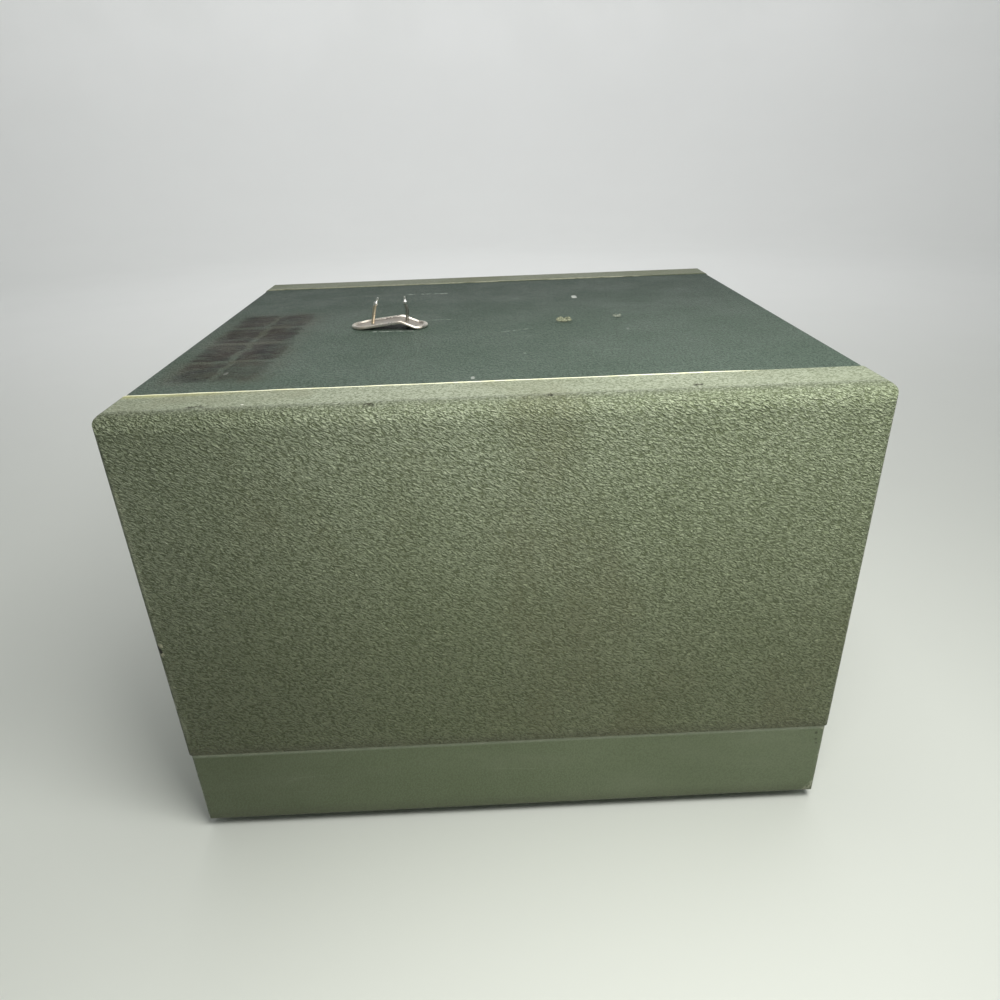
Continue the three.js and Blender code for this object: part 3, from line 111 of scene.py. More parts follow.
class Graph:
    """A node tree with short calls for the nodes that the finishes use."""

    def __init__(self, tree: bpy.types.NodeTree) -> None:
        """Keeps the tree that the nodes go into."""
        self.tree = tree

    def put(self, socket: bpy.types.NodeSocket, value: Value) -> None:
        """Links a socket, or sets it to a plain value that is filled up to the socket's length.

        Args:
            socket: the input socket.
            value: a socket, a plain value, or None to leave the input alone.
        """
        if isinstance(value, bpy.types.NodeSocket):
            self.tree.links.new(value, socket)
        elif value is not None:
            if socket.type == "VECTOR" and isinstance(value, float):
                value = (value, value, value)
            elif socket.type == "RGBA":
                value = (*value, 1.0)[:4]
            socket.default_value = value

    def node(
        self, kind: str, inputs: dict[int | str, Value] | None = None, **settings: object
    ) -> bpy.types.Node:
        """Adds a node.

        Args:
            kind: the node's type name, after ShaderNode.
            inputs: what its inputs get, by number or name.
            settings: attribute values by name.

        Returns:
            The new node.
        """
        node = self.tree.nodes.new(f"ShaderNode{kind}")
        for name, value in settings.items():
            setattr(node, name, value)
        for name, value in (inputs or {}).items():
            self.put(node.inputs[name], value)
        return node

    def math(self, operation: str, *values: Value, clamp: bool = False) -> Value:
        """Adds a math node.

        Args:
            operation: Blender's name of the operation.
            values: up to three numbers or sockets that it works on.
            clamp: whether the result stays between 0 and 1.

        Returns:
            The output socket.
        """
        return self.node("Math", dict(enumerate(values)), operation=operation, use_clamp=clamp).outputs[0]

    def less(self, value: Value, taken: Value) -> Value:
        """Subtracts one number from another."""
        return self.math("SUBTRACT", value, taken)

    def product(self, *values: Value) -> Value:
        """Multiplies numbers, or gives a single one back."""
        return reduce(partial(self.math, "MULTIPLY"), values)

    def vector(self, operation: str, first: Value, second: Value) -> Value:
        """Adds a vector math node and gives its vector, or the number of a product or distance."""
        node = self.node("VectorMath", {0: first, 1: second}, operation=operation)
        return node.outputs["Value" if operation in ("DOT_PRODUCT", "DISTANCE") else "Vector"]

    def parts(self, vector: Value) -> tuple[Value, Value, Value]:
        """Splits a vector into its three numbers."""
        return tuple(self.node("SeparateXYZ", {0: vector}).outputs)

    def ramp(self, value: Value, start: Value, end: Value, low: float = 0.0, high: float = 1.0) -> Value:
        """Maps a number smoothly from one range to another and holds it at both ends.

        Args:
            value: the number to map.
            start: where the change begins.
            end: where the change ends.
            low: the result at the start.
            high: the result at the end.

        Returns:
            The output socket.
        """
        inputs = dict(enumerate((value, start, end, low, high)))
        return self.node("MapRange", inputs, interpolation_type="SMOOTHSTEP").outputs[0]

    def fade(self, value: Value, start: Value, end: Value) -> Value:
        """Maps a number smoothly from 1 at the start to 0 at the end."""
        return self.ramp(value, start, end, 1.0, 0.0)

    def noise(self, place: Value, scale: Value, detail: float = 3.0, rough: float = 0.55) -> Value:
        """Adds a noise texture and gives its number."""
        inputs = {"Vector": place, "Scale": scale, "Detail": detail, "Roughness": rough}
        return self.node("TexNoise", inputs).outputs[0]

    def jitter(self, place: Value, scale: Value, detail: float, reach: Value, source: Value = None) -> Value:
        """Moves a place about by noise.

        Args:
            place: the place.
            scale: the noise's scale.
            detail: the noise's detail.
            reach: how far the place moves, as one number or one for each axis.
            source: where the noise is read, if not at the place.

        Returns:
            The moved place.
        """
        inputs = {"Vector": place if source is None else source, "Scale": scale, "Detail": detail}
        shift = self.vector("SUBTRACT", self.node("TexNoise", inputs).outputs["Color"], 0.5)
        return self.vector("ADD", place, self.vector("MULTIPLY", shift, reach))

    def cells(self, place: Value, scale: Value, feature: str = "SMOOTH_F1") -> Value:
        """Adds a Voronoi texture and gives its distance."""
        return self.node("TexVoronoi", {"Vector": place, "Scale": scale}, feature=feature).outputs["Distance"]

    def mix(self, amount: Value, low: Value, high: Value, blend: str = "MIX") -> Value:
        """Mixes two colours.

        Args:
            amount: how much of the second colour shows.
            low: the first colour.
            high: the second colour.
            blend: Blender's name of the blend.

        Returns:
            The colour socket.
        """
        inputs = {0: amount, 6: low, 7: high}
        return self.node("Mix", inputs, data_type="RGBA", blend_type=blend).outputs[2]

    def band(self, value: Value, low: float, high: float, soft: float) -> Value:
        """Gives 1 between two limits, with edges that fade on both sides of each."""
        rise = self.ramp(value, low - soft, low + soft)
        return self.product(rise, self.fade(value, high - soft, high + soft))

    def spot(self, place: Value, centre: Sequence[float], radius: float, soft: float) -> Value:
        """Gives 1 within a radius of a point, with a soft edge."""
        return self.fade(self.vector("DISTANCE", place, tuple(centre)), radius - soft, radius + soft)

    def stroke(self, place: Value, start: Vector, end: Vector, half: float, soft: float) -> Value:
        """Gives 1 along a straight stroke between two points.

        Args:
            place: the place on the surface.
            start: the stroke's first point.
            end: the stroke's last point.
            half: half the stroke's width.
            soft: how far its edge fades.

        Returns:
            The mask socket.
        """
        run = end - start
        from_start = self.vector("SUBTRACT", place, tuple(start))
        along = self.vector("DOT_PRODUCT", from_start, tuple(run / run.length_squared))
        nearest = self.vector("MULTIPLY", tuple(run), self.math("ADD", along, 0.0, clamp=True))
        return self.fade(self.vector("DISTANCE", from_start, nearest), half, half + soft)


class EffectGroups:
    """The node groups that more than one finish places, each built once."""

    def __init__(self) -> None:
        """Builds every group."""
        self.grain = self._grain()
        self.edge_wear = self._edge_wear()
        self.dust = self._dust()
        self.scratches = self._scratches()

    @staticmethod
    def _open(name: str, **inputs: Value) -> tuple[Graph, bpy.types.bpy_prop_collection]:
        """Makes an empty group that is given a position and more.

        Args:
            name: the group's name.
            inputs: the default of each number by name, or None for a vector without one.

        Returns:
            The group's graph and the sockets that it is given.
        """
        tree = bpy.data.node_groups.new(name, "ShaderNodeTree")
        for label, default in {"Position": None, **inputs}.items():
            kind = "NodeSocketFloat" if isinstance(default, float) else "NodeSocketVector"
            socket = tree.interface.new_socket(name=label, in_out="INPUT", socket_type=kind)
            if default is not None:
                socket.default_value = default
        return Graph(tree), tree.nodes.new("NodeGroupInput").outputs

    @staticmethod
    def _close(graph: Graph, **outputs: Value) -> bpy.types.NodeTree:
        """Gives a group its output numbers.

        Args:
            graph: the group's graph.
            outputs: what the group gives, by name.

        Returns:
            The finished group.
        """
        for label in outputs:
            graph.tree.interface.new_socket(name=label, in_out="OUTPUT", socket_type="NodeSocketFloat")
        end = graph.tree.nodes.new("NodeGroupOutput")
        for label, value in outputs.items():
            graph.put(end.inputs[label], value)
        return graph.tree

    def _grain(self) -> bpy.types.NodeTree:
        """Leather-like grain: warped pebbles with creases between them, drawn out along one direction.

        Returns:
            The group.
        """
        graph, given = self._open("Grain", Cells=500.0, Along=(1.0, 0.0, 0.0), Stretch=1.0, Crease=0.5)
        place, cells, along = given["Position"], given["Cells"], given["Along"]
        share = graph.less(1.0, graph.math("DIVIDE", 1.0, given["Stretch"]))
        reach = graph.product(graph.vector("DOT_PRODUCT", place, along), share)
        drawn = graph.vector("SUBTRACT", place, graph.vector("MULTIPLY", along, reach))
        warped = graph.jitter(drawn, graph.product(cells, 0.5), 1.0, graph.math("DIVIDE", 1.5, cells))
        pebble = graph.fade(graph.cells(warped, cells), 0.1, 0.62)
        wander = graph.noise(warped, graph.product(cells, 0.9), 2.0, 0.5)
        ridge = graph.ramp(graph.math("ABSOLUTE", graph.less(wander, 0.5)), 0.0, 0.11)
        height = graph.node("Mix", {0: given["Crease"], 2: pebble, 3: ridge}, data_type="FLOAT").outputs[0]
        return self._close(graph, Height=height, Pits=graph.fade(height, 0.1, 0.55))

    def _edge_wear(self) -> bpy.types.NodeTree:
        """Wear along the edges of a box between two corners, broken up by noise.

        Returns:
            The group.
        """
        graph, given = self._open("Edge wear", Low=None, High=None, Width=0.002, Breakup=180.0)
        place = given["Position"]
        below = graph.vector("SUBTRACT", place, given["Low"])
        above = graph.vector("SUBTRACT", given["High"], place)
        near = graph.vector("MINIMUM", below, above)
        x, y, z = graph.parts(graph.vector("MAXIMUM", near, 0.0))
        least, most = graph.math("MINIMUM", x, y), graph.math("MAXIMUM", x, y)
        second = graph.math("MAXIMUM", least, graph.math("MINIMUM", most, z))
        ragged = graph.noise(place, given["Breakup"], 5.0, 0.7)
        reach = graph.product(given["Width"], graph.ramp(ragged, 0.35, 0.75, 0.1, 2.2))
        return self._close(graph, Mask=graph.fade(graph.math("DIVIDE", second, reach), 0.5, 1.0))

    def _dust(self) -> bpy.types.NodeTree:
        """Dust that lies thicker on faces turned up.

        Returns:
            The group.
        """
        graph, given = self._open("Dust", Patch=30.0)
        up = graph.parts(graph.node("NewGeometry").outputs["Normal"])[Axis.Z]
        cloud = graph.noise(given["Position"], given["Patch"], 6.0, 0.7)
        mask = graph.product(graph.ramp(up, 0.2, 0.95), graph.ramp(cloud, 0.4, 0.75, 0.25, 1.0))
        return self._close(graph, Mask=mask)

    def _scratches(self) -> bpy.types.NodeTree:
        """Fine scattered scratches that run along X.

        Returns:
            The group.
        """
        graph, given = self._open("Scratches", Scale=60.0, Few=0.6)
        drawn = graph.vector("MULTIPLY", given["Position"], (0.12, 1.0, 1.0))
        line = graph.fade(graph.cells(drawn, given["Scale"], "DISTANCE_TO_EDGE"), 0.0, 0.012)
        present = graph.ramp(graph.noise(given["Position"], 22.0, 2.0), given["Few"], 0.9)
        return self._close(graph, Mask=graph.product(line, present))


EFFECTS = EffectGroups()


class Look:
    """A material being made: its shader, and the colour and the height so far."""

    def __init__(self, name: str, color: Color, box: Box | None = None) -> None:
        """Starts a material with only its Principled BSDF and output.

        Args:
            name: the material's name.
            color: the colour that the rest is painted on.
            box: the corners whose edges wear.
        """
        self.material = bpy.data.materials.new(name)
        self.material.use_nodes = True
        self.graph = Graph(self.material.node_tree)
        self.position = self.graph.node("TexCoord").outputs["Object"]
        self.color: Value = color
        self.height: Value = None
        self.box = box

    def effect(self, group: bpy.types.NodeTree, **values: Value) -> bpy.types.bpy_prop_collection:
        """Places an effect group with its input values and gives its outputs."""
        return self.graph.node("Group", {"Position": self.position, **values}, node_tree=group).outputs

    def edge_wear(self, width: float, breakup: float = 180.0) -> Value:
        """Gives the mask of the wear along the box's edges."""
        low, high = (tuple(corner) for corner in self.box)
        return self.effect(EFFECTS.edge_wear, Low=low, High=high, Width=width, Breakup=breakup)["Mask"]

    def scratches(self, scale: float, few: float) -> Value:
        """Gives the mask of fine scratches."""
        return self.effect(EFFECTS.scratches, Scale=scale, Few=few)["Mask"]

    def dust(self, patch: float) -> Value:
        """Gives the mask of dust."""
        return self.effect(EFFECTS.dust, Patch=patch)["Mask"]

    def cloud(
        self, scale: float, detail: float, *ends: float, rough: float = 0.55, stretch: Triple | None = None
    ) -> Value:
        """Gives noise over the surface, mapped smoothly to another range.

        Args:
            scale: the noise's scale.
            detail: the noise's detail.
            ends: where the change begins and ends, and the results there.
            rough: the noise's roughness.
            stretch: what the place is multiplied by first.

        Returns:
            The number.
        """
        place = self.graph.vector("MULTIPLY", self.position, stretch) if stretch else self.position
        return self.graph.ramp(self.graph.noise(place, scale, detail, rough), *ends)

    def paint(self, color: Value, *shares: Value, blend: str = "MIX") -> None:
        """Lays a colour over the one so far, as thickly as the product of the shares."""
        self.color = self.graph.mix(self.graph.product(*shares), self.color, color, blend)

    def finish(self, rough: Value, depth: float = 0.0, strength: float = 1.0, **fixed: float) -> None:
        """Feeds the shader.

        Args:
            rough: the roughness.
            depth: what a height of 1 is in metres.
            strength: the strength of the bump.
            fixed: plain numbers for the shader's own sockets, by name.
        """
        sockets = self.material.node_tree.nodes["Principled BSDF"].inputs
        for name, value in fixed.items():
            sockets[name.replace("_", " ")].default_value = value
        self.graph.put(sockets["Base Color"], self.color)
        self.graph.put(sockets["Roughness"], rough)
        if self.height is not None:
            bump = {"Strength": strength, "Distance": depth, "Height": self.height}
            self.graph.put(sockets["Normal"], self.graph.node("Bump", bump).outputs[0])


# Finishes


class Finish:
    """A finish. Each kind says in lay() how it covers a look."""

    color: Color

    def lay(self, look: Look) -> None:
        """Puts the finish on a material being made."""
        raise NotImplementedError

    def make(self, name: str, box: Box | None = None) -> bpy.types.Material:
        """Makes the material.

        Args:
            name: the material's name.
            box: the corners whose edges wear.

        Returns:
            The material.
        """
        look = Look(name, self.color, box)
        self.lay(look)
        return look.material

    def dress(self, name: str, *nodes: str, box: Box | None = None) -> None:
        """Makes the material and gives it to CAD nodes.

        Args:
            name: the material's name.
            nodes: the CAD nodes.
            box: the corners whose edges wear, if not those of the first node.
        """
        material = self.make(name, box or low_high(nodes[0]))
        for node in nodes:
            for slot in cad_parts[node].material_slots:
                slot.material = material
            LOG.info("dressed %s", node)


@dataclass(frozen=True)
class Leatherette(Finish):
    """Grained vinyl-coated cloth, with wear along its edges, soft blotches, painted shade in the grain's pits
    and painted glints and highlights on the grain.
    """

    color: Color
    light: Color
    dark: Color
    worn: Color
    cells: float
    depth: float
    along: Triple = (0.88, 0.0, -0.475)
    stretch: float = 1.0
    pit_shade: float = 0.3
    crest: float = 0.0
    crease: float = 0.5
    roughness: float = 0.5
    gloss: float = 0.2
    wear: float = 0.0012
    extra: Callable[[Look], None] | None = None

    def lay(self, look: Look) -> None:
        """Puts the finish on.

        Args:
            look: the material being made.
        """
        grain = look.effect(
            EFFECTS.grain, Cells=self.cells, Crease=self.crease, Along=self.along, Stretch=self.stretch
        )
        look.height = grain["Height"]
        look.paint(self.light, look.cloud(9.0, 5.0, 0.35, 0.7, rough=0.6))
        # painted shade: the grain's pits are darkened
        look.paint(self.dark, grain["Pits"], self.pit_shade)
        # painted glints: light flecks scattered over the grain
        look.paint(self.light, look.cloud(self.cells * 1.6, 2.0, 0.6, 0.8, 0.0, 0.35))
        # painted highlight: the grain's crests are lightened in the worn colour
        look.paint(self.worn, look.graph.ramp(look.height, 0.84, 1.0, 0.0, self.crest))
        if self.extra:
            self.extra(look)
        look.paint(self.worn, look.edge_wear(self.wear), 0.75)
        rough = look.cloud(26.0, 4.0, 0.3, 0.75, self.roughness - 0.07, self.roughness + 0.1)
        look.finish(rough, self.depth, Specular_IOR_Level=self.gloss)


@dataclass(frozen=True)
class Enamel(Finish):
    """Baked enamel with a fine wrinkle and bare metal showing along its edges."""

    color: Color
    wrinkle: float = 900.0
    depth: float = 0.00018
    roughness: float = 0.42
    wear: float = 0.0006

    def lay(self, look: Look) -> None:
        """Puts the finish on.

        Args:
            look: the material being made.
        """
        look.height = look.effect(EFFECTS.grain, Cells=self.wrinkle, Crease=0.35)["Height"]
        look.paint(look.cloud(14.0, 4.0, 0.3, 0.75, 0.88, 1.12), 1.0, blend="MULTIPLY")
        dust = look.dust(45.0)
        look.paint((0.45, 0.43, 0.38), dust, 0.16)
        look.paint((0.42, 0.42, 0.4), look.edge_wear(self.wear, 320.0), 0.6)
        rough = look.graph.math("MULTIPLY_ADD", dust, 0.25, self.roughness)
        look.finish(rough, self.depth, Coat_Weight=0.15, Coat_Roughness=0.25)


@dataclass(frozen=True)
class Metal(Finish):
    """Bare or plated metal with brush marks, tarnish and fine scratches."""

    color: Color
    tarnish: Color
    roughness: float = 0.3
    stretch: Triple = (1.0, 12.0, 12.0)
    tarnish_amount: float = 0.4
    pitting: float = 0.00004
    extra: Callable[[Look], None] | None = None

    def lay(self, look: Look) -> None:
        """Puts the finish on.

        Args:
            look: the material being made.
        """
        graph = look.graph
        brushed = graph.noise(graph.vector("MULTIPLY", look.position, self.stretch), 260.0, 4.0, 0.7)
        stain_and_shadow = look.cloud(110.0, 6.0, 0.42, 0.72, rough=0.7)
        look.paint(self.tarnish, stain_and_shadow, self.tarnish_amount)
        look.paint((0.85, 0.85, 0.83), look.scratches(240.0, 0.45), 0.5)
        if self.extra:
            self.extra(look)
        look.height = graph.math("ADD", brushed, stain_and_shadow)
        base = graph.ramp(brushed, 0.3, 0.7, self.roughness - 0.08, self.roughness + 0.08)
        rough = graph.math("ADD", base, graph.product(stain_and_shadow, 0.22), clamp=True)
        look.finish(rough, self.pitting, Metallic=1.0)


@dataclass(frozen=True)
class Moulded(Finish):
    """Moulded phenolic or rubber, with swirls, dust and a fine skin."""

    color: Color
    light: Color
    roughness: float = 0.32
    cells: float = 1400.0
    depth: float = 0.00003
    dusty: float = 0.12

    def lay(self, look: Look) -> None:
        """Puts the finish on.

        Args:
            look: the material being made.
        """
        look.paint(self.light, look.cloud(60.0, 6.0, 0.45, 0.75, rough=0.65), 0.6)
        look.paint((0.5, 0.48, 0.43), look.dust(70.0), self.dusty)
        look.paint(self.light, look.scratches(180.0, 0.5), 0.3)
        look.height = look.effect(EFFECTS.grain, Cells=self.cells, Crease=0.2)["Height"]
        look.finish(
            look.cloud(90.0, 3.0, 0.3, 0.7, self.roughness - 0.08, self.roughness + 0.1), self.depth
        )


@dataclass(frozen=True)
class Plywood(Finish):
    """Birch plywood: long grain on the faces, and plies where an edge is cut."""

    thin: Axis
    color: Color = (0.42, 0.29, 0.155)
    dark: Color = (0.25, 0.155, 0.075)
    ply: float = 1.6 * MM
    depth: float = 0.25 * MM

    def lay(self, look: Look) -> None:
        """Puts the finish on.

        Args:
            look: the material being made.
        """
        graph = look.graph
        stretch = (60.0, 5.0, 60.0) if self.thin is Axis.X else (5.0, 60.0, 60.0)
        drawn = graph.vector("MULTIPLY", look.position, stretch)
        grain = look.height = graph.noise(drawn, 4.0, 6.0, 0.65)
        look.paint(self.dark, graph.ramp(grain, 0.35, 0.7))
        look.paint(self.dark, graph.ramp(graph.noise(drawn, 11.0, 3.0), 0.55, 0.7), 0.35)
        across = graph.parts(look.position)[self.thin]
        layer = graph.math("FRACT", graph.math("DIVIDE", across, self.ply * 2.0))
        plies = graph.ramp(graph.math("ABSOLUTE", graph.less(layer, 0.5)), 0.2, 0.3)
        facing = graph.parts(graph.node("NewGeometry").outputs["Normal"])[self.thin]
        edge = graph.fade(graph.math("ABSOLUTE", facing), 0.5, 0.8)
        look.paint(self.dark, plies, edge, 0.55)
        look.paint((0.4, 0.38, 0.33), look.dust(18.0), 0.2)
        look.finish(graph.ramp(grain, 0.3, 0.7, 0.62, 0.85), self.depth)


@dataclass(frozen=True)
class ClearGlass(Finish):
    """Clear optical or lamp glass. Its colour stands for coating or soot."""

    color: Color
    roughness: float = 0.02
    smear: float = 0.05
    depth: float = 0.05 * MM

    def lay(self, look: Look) -> None:
        """Puts the finish on.

        Args:
            look: the material being made.
        """
        cloud = look.cloud(55.0, 4.0, 0.5, 0.8)
        look.paint((0.8, 0.82, 0.8), cloud, 0.1)
        look.height = look.graph.noise(look.position, 30.0, 2.0)
        rough = look.graph.math("MULTIPLY_ADD", cloud, self.smear, self.roughness)
        look.finish(rough, self.depth, 0.3, Transmission_Weight=1.0, IOR=1.5, Metallic=0.0)


@dataclass(frozen=True)
class PaintMark(Finish):
    """A small painted or torn detail in a matt colour with slight variation."""

    color: Color
    other: Color
    roughness: float = 0.7
    scale: float = 500.0
    depth: float = 0.1 * MM

    def lay(self, look: Look) -> None:
        """Puts the finish on.

        Args:
            look: the material being made.
        """
        graph = look.graph
        cloud = look.height = graph.noise(look.position, self.scale, 4.0, 0.7)
        look.paint(self.other, graph.ramp(cloud, 0.35, 0.65))
        look.finish(
            graph.ramp(cloud, 0.3, 0.7, self.roughness - 0.1, self.roughness + 0.1), self.depth
        )


def dress_boards(part: str, level: str) -> None:
    """Dresses the four upright boards and the level one.

    Args:
        part: cover or base.
        level: the level board's side, top or floor.
    """
    axes = {"front": Axis.Y, "back": Axis.Y, "left": Axis.X, "right": Axis.X, level: Axis.Z}
    for side, thin in axes.items():
        Plywood(thin).dress(f"plywood {part}_{side}_board", f"{part}_{side}_board")


# Meshes


def add_object(name: str, data: bpy.types.ID) -> bpy.types.Object:
    """Makes an object and links it to the scene.

    Args:
        name: the object's name.
        data: its mesh, light or camera.

    Returns:
        The object.
    """
    made = bpy.data.objects.new(name, data)
    bpy.context.scene.collection.objects.link(made)
    return made


def add_mesh(name: str, shape: Mesh, material: bpy.types.Material) -> bpy.types.Object:
    """Makes a smoothly shaded object.

    Args:
        name: the object's name.
        shape: its points in metres and its faces.
        material: its material.

    Returns:
        The object.
    """
    mesh = bpy.data.meshes.new(name)
    mesh.from_pydata([tuple(point) for point in shape[0]], [], [tuple(face) for face in shape[1]])
    mesh.materials.append(material)
    mesh.shade_smooth()
    return add_object(name, mesh)


def add_piece(
    name: str, shape: Mesh, material: bpy.types.Material, body: Body, sharp: float = 40.0
) -> bpy.types.Object:
    """Makes a piece and rides it on a body.

    Args:
        name: the piece's name.
        shape: its points in metres and its faces.
        material: its material.
        body: the CAD body that it moves with.
        sharp: the angle in degrees from which an edge is shown sharp.

    Returns:
        The piece's object.
    """
    piece = add_mesh(name, shape, material)
    work = bmesh.new()
    work.from_mesh(piece.data)
    bmesh.ops.recalc_face_normals(work, faces=work.faces)
    work.to_mesh(piece.data)
    work.free()
    piece.data.set_sharp_from_angle(angle=math.radians(sharp))
    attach(piece, body.value)
    LOG.info("built %s on %s", name, body.value)
    return piece


def angles(count: int) -> list[float]:
    """Gives evenly spaced angles round a full turn."""
    return [2 * math.pi * i / count for i in range(count)]


def tube(rings: Sequence[Sequence[Vector]], ends: Ends) -> Mesh:
    """Joins rings of equal length into a tube.

    Args:
        rings: closed rings of points, in order.
        ends: what becomes of the two ends.

    Returns:
        The points and the faces.
    """
    count = len(rings[0])
    points = [point for ring in rings for point in ring]
    faces = []
    for i in range(len(rings) if ends is Ends.JOINED else len(rings) - 1):
        this, after = i * count, (i + 1) % len(rings) * count
        for j in range(count):
            k = (j + 1) % count
            faces.append([this + j, this + k, after + k, after + j])
    if ends is Ends.CAPPED:
        faces += [list(range(count))[::-1], list(range(len(points) - count, len(points)))]
    return points, faces


def swept(path: Sequence[Vector], radii: Sequence[float], sides: int, flat: float = 1.0) -> Mesh:
    """Sweeps a round or flattened section along a path.

    Args:
        path: the points of the centre line.
        radii: the section's radius at each point.
        sides: the number of points round the section.
        flat: the section's thickness as a share of its width.

    Returns:
        The points and the faces.
    """
    steep = 0.9
    rings = []
    side = None
    for i, (point, radius) in enumerate(zip(path, radii)):
        ahead = (path[min(i + 1, len(path) - 1)] - path[max(i - 1, 0)]).normalized()
        if side is None:
            side = Vector((0, 0, 1)) if abs(ahead.z) < steep else Vector((0, 1, 0))
        side = (side - ahead * side.dot(ahead)).normalized()
        high, wide = side * radius * flat, ahead.cross(side) * radius
        rings.append([point + high * math.sin(angle) + wide * math.cos(angle) for angle in angles(sides)])
    return tube(rings, Ends.CAPPED)


# The case


@dataclass
class CaseCover:
    """The lift-off cover: its coverings, boards, cut edges and scars.

    A stroke is its start, its end and half its width. A speck is its place, its radius and its strength.
    """

    grille_columns: int = 2
    grille_rows: int = 4
    print_low: float = 7.5 * MM
    print_high: float = 3.0 * MM
    rib_half: Pair = (0.8 * MM, 0.9 * MM)
    rib_soft: Pair = (1.6 * MM, 2.6 * MM)
    print_soft: float = 5 * MM
    halo_soft: float = 12 * MM
    halo_color: Color = (0.076, 0.074, 0.050)
    char_dark: Color = (0.004, 0.0033, 0.002)
    char_light: Color = (0.019, 0.0135, 0.0075)
    pale_scratch: Color = (0.42, 0.47, 0.42)
    white: Color = (0.74, 0.76, 0.72)
    top_shade: Color = (0.78, 0.78, 0.80)
    seam_shadow: Color = (0.014, 0.018, 0.013)
    hole_shadow: Color = (0.026, 0.034, 0.022)
    rear_shade_tone: Color = (0.25, 0.28, 0.20)
    rear_shade: Color = (0.66, 0.66, 0.62)
    brown_stain: Color = (0.17, 0.165, 0.09)
    yellow_stain: Color = (0.50, 0.48, 0.16)
    tear_dark: Color = (0.07, 0.07, 0.04)
    dot_pale: Color = (0.78, 0.78, 0.70)
    low_edge_shade: Color = (0.11, 0.11, 0.075)
    streak_pale: Color = (0.42, 0.45, 0.32)
    flake_pale: Color = (0.55, 0.54, 0.38)
    nick_dark: Color = (0.020, 0.018, 0.012)
    scratches: tuple[Stroke, ...] = (
        ((-0.0627, -0.0190), (-0.0424, -0.0205), 0.9 * MM),
        ((-0.052, 0.0826), (-0.0263, 0.0807), 0.9 * MM),
        ((-0.0395, 0.0035), (-0.0199, 0.0035), 0.2 * MM),
        ((0.0040, -0.031), (0.0215, -0.0255), 0.25 * MM),
    )
    white_specks: tuple[tuple[Pair, float, float], ...] = (
        ((0.0530, 0.0535), 1.7 * MM, 0.75),
        ((-0.0097, -0.1100), 0.7 * MM, 0.4),
        ((0.0145, -0.074), 0.5 * MM, 0.15),
        ((0.0702, -0.0347), 0.7 * MM, 0.15),
        ((-0.1202, -0.0885), 0.8 * MM, 0.15),
    )
    lip_tears: tuple[Stroke, ...] = (
        ((-0.1202, -0.1358), (-0.1148, -0.1345), 1.0 * MM),
        ((-0.0510, -0.1399), (-0.0490, -0.1397), 0.7 * MM),
        ((0.0186, -0.1381), (0.0202, -0.1379), 0.6 * MM),
        ((0.0785, -0.1330), (0.0803, -0.1328), 0.5 * MM),
    )
    lip_dot: Pair = (-0.0998, -0.1345)
    shaded_length: float = 150 * MM
    edge_flakes: tuple[Pair, ...] = ((-0.1528, 0.1152), (-0.1532, 0.1106))
    edge_nick: tuple[Pair, Pair] = ((-0.1549, 0.1150), (-0.1535, 0.1120))
    bead_width: float = 1.25 * MM
    bead_height: float = 0.7 * MM
    bead_end: float = 95 * MM
    bead_fade: float = 45 * MM
    bead_step: float = 6 * MM
    bead_inset: float = 0.35 * MM
    bead_corner: float = 2.5 * MM
    bead_sides: int = 8
    torn_places: tuple[tuple[Pair, Triple], ...] = (
        ((0.0400, -0.0092), (5.2 * MM, 4.4 * MM, 1.1 * MM)),
        ((0.0698, -0.0050), (2.6 * MM, 2.6 * MM, 0.8 * MM)),
    )
    torn_profile: tuple[Pair, ...] = (
        (0.30, -0.3), (0.42, 0.75), (0.66, 1.0), (0.88, 0.72), (1.0, 0.16), (0.9, 0.02), (0.5, -0.3)
    )
    torn_steps: int = 40
    seed: int = 7

    def __post_init__(self) -> None:
        """Reads the cover's place from the frame."""
        self.front = low_high("cover_front_covering")
        self.top = low_high("cover_top_covering")[1].z
        self.back_edge, far = low_high("cover_back_covering")
        self.grille = low_high("top_grille")
        self.box = (self.front[0] - Vector((0, 0, 0.05)), far)
        self.random = random.Random(self.seed)

    def scorch(self, look: Look) -> Value:
        """Gives the print of the hot grille under the top.

        Args:
            look: the material being made.

        Returns:
            The mask socket.
        """
        graph = look.graph
        source = graph.vector("MULTIPLY", look.position, (0.5, 1.0, 1.0))
        x, y, z = graph.parts(graph.jitter(look.position, 130.0, 4.0, (0.009, 0.004, 0.0), source))
        low, high = self.grille
        mask = graph.math("GREATER_THAN", z, self.top - 2 * MM)
        for place, start, end, count, half, soft in zip(
            (x, y),
            (low.x - self.print_low, low.y),
            (high.x + self.print_high, high.y),
            (self.grille_columns, self.grille_rows),
            self.rib_half,
            self.rib_soft,
        ):
            pitch = (end - start) / count
            share = graph.math("FRACT", graph.math("DIVIDE", graph.less(place, start), pitch))
            near = graph.product(graph.math("MINIMUM", share, graph.less(1.0, share)), pitch)
            bars = graph.ramp(near, half, half + soft, 0.1, 1.0)
            mask = graph.product(mask, bars, graph.band(place, start + 2 * MM, end - 2 * MM, self.print_soft))
        uneven = look.cloud(270.0, 4.0, 0.38, 0.60, 0.45, 1.0, rough=0.75, stretch=(0.36, 1.0, 1.0))
        front_rows = graph.ramp(y, low.y + 8 * MM, low.y + 45 * MM, 0.8, 1.0)
        back_row = graph.ramp(y, high.y - 48 * MM, high.y - 8 * MM, 1.0, 0.85)
        near_front = graph.ramp(y, low.y + 26 * MM, low.y + 36 * MM, 0.4, 0.0)
        middle = (low.x + high.x) / 2
        right_side = graph.ramp(x, middle - 2 * MM, middle + 2 * MM)
        faint = graph.less(1.0, graph.product(near_front, right_side))
        return graph.product(mask, uneven, front_rows, back_row, faint)

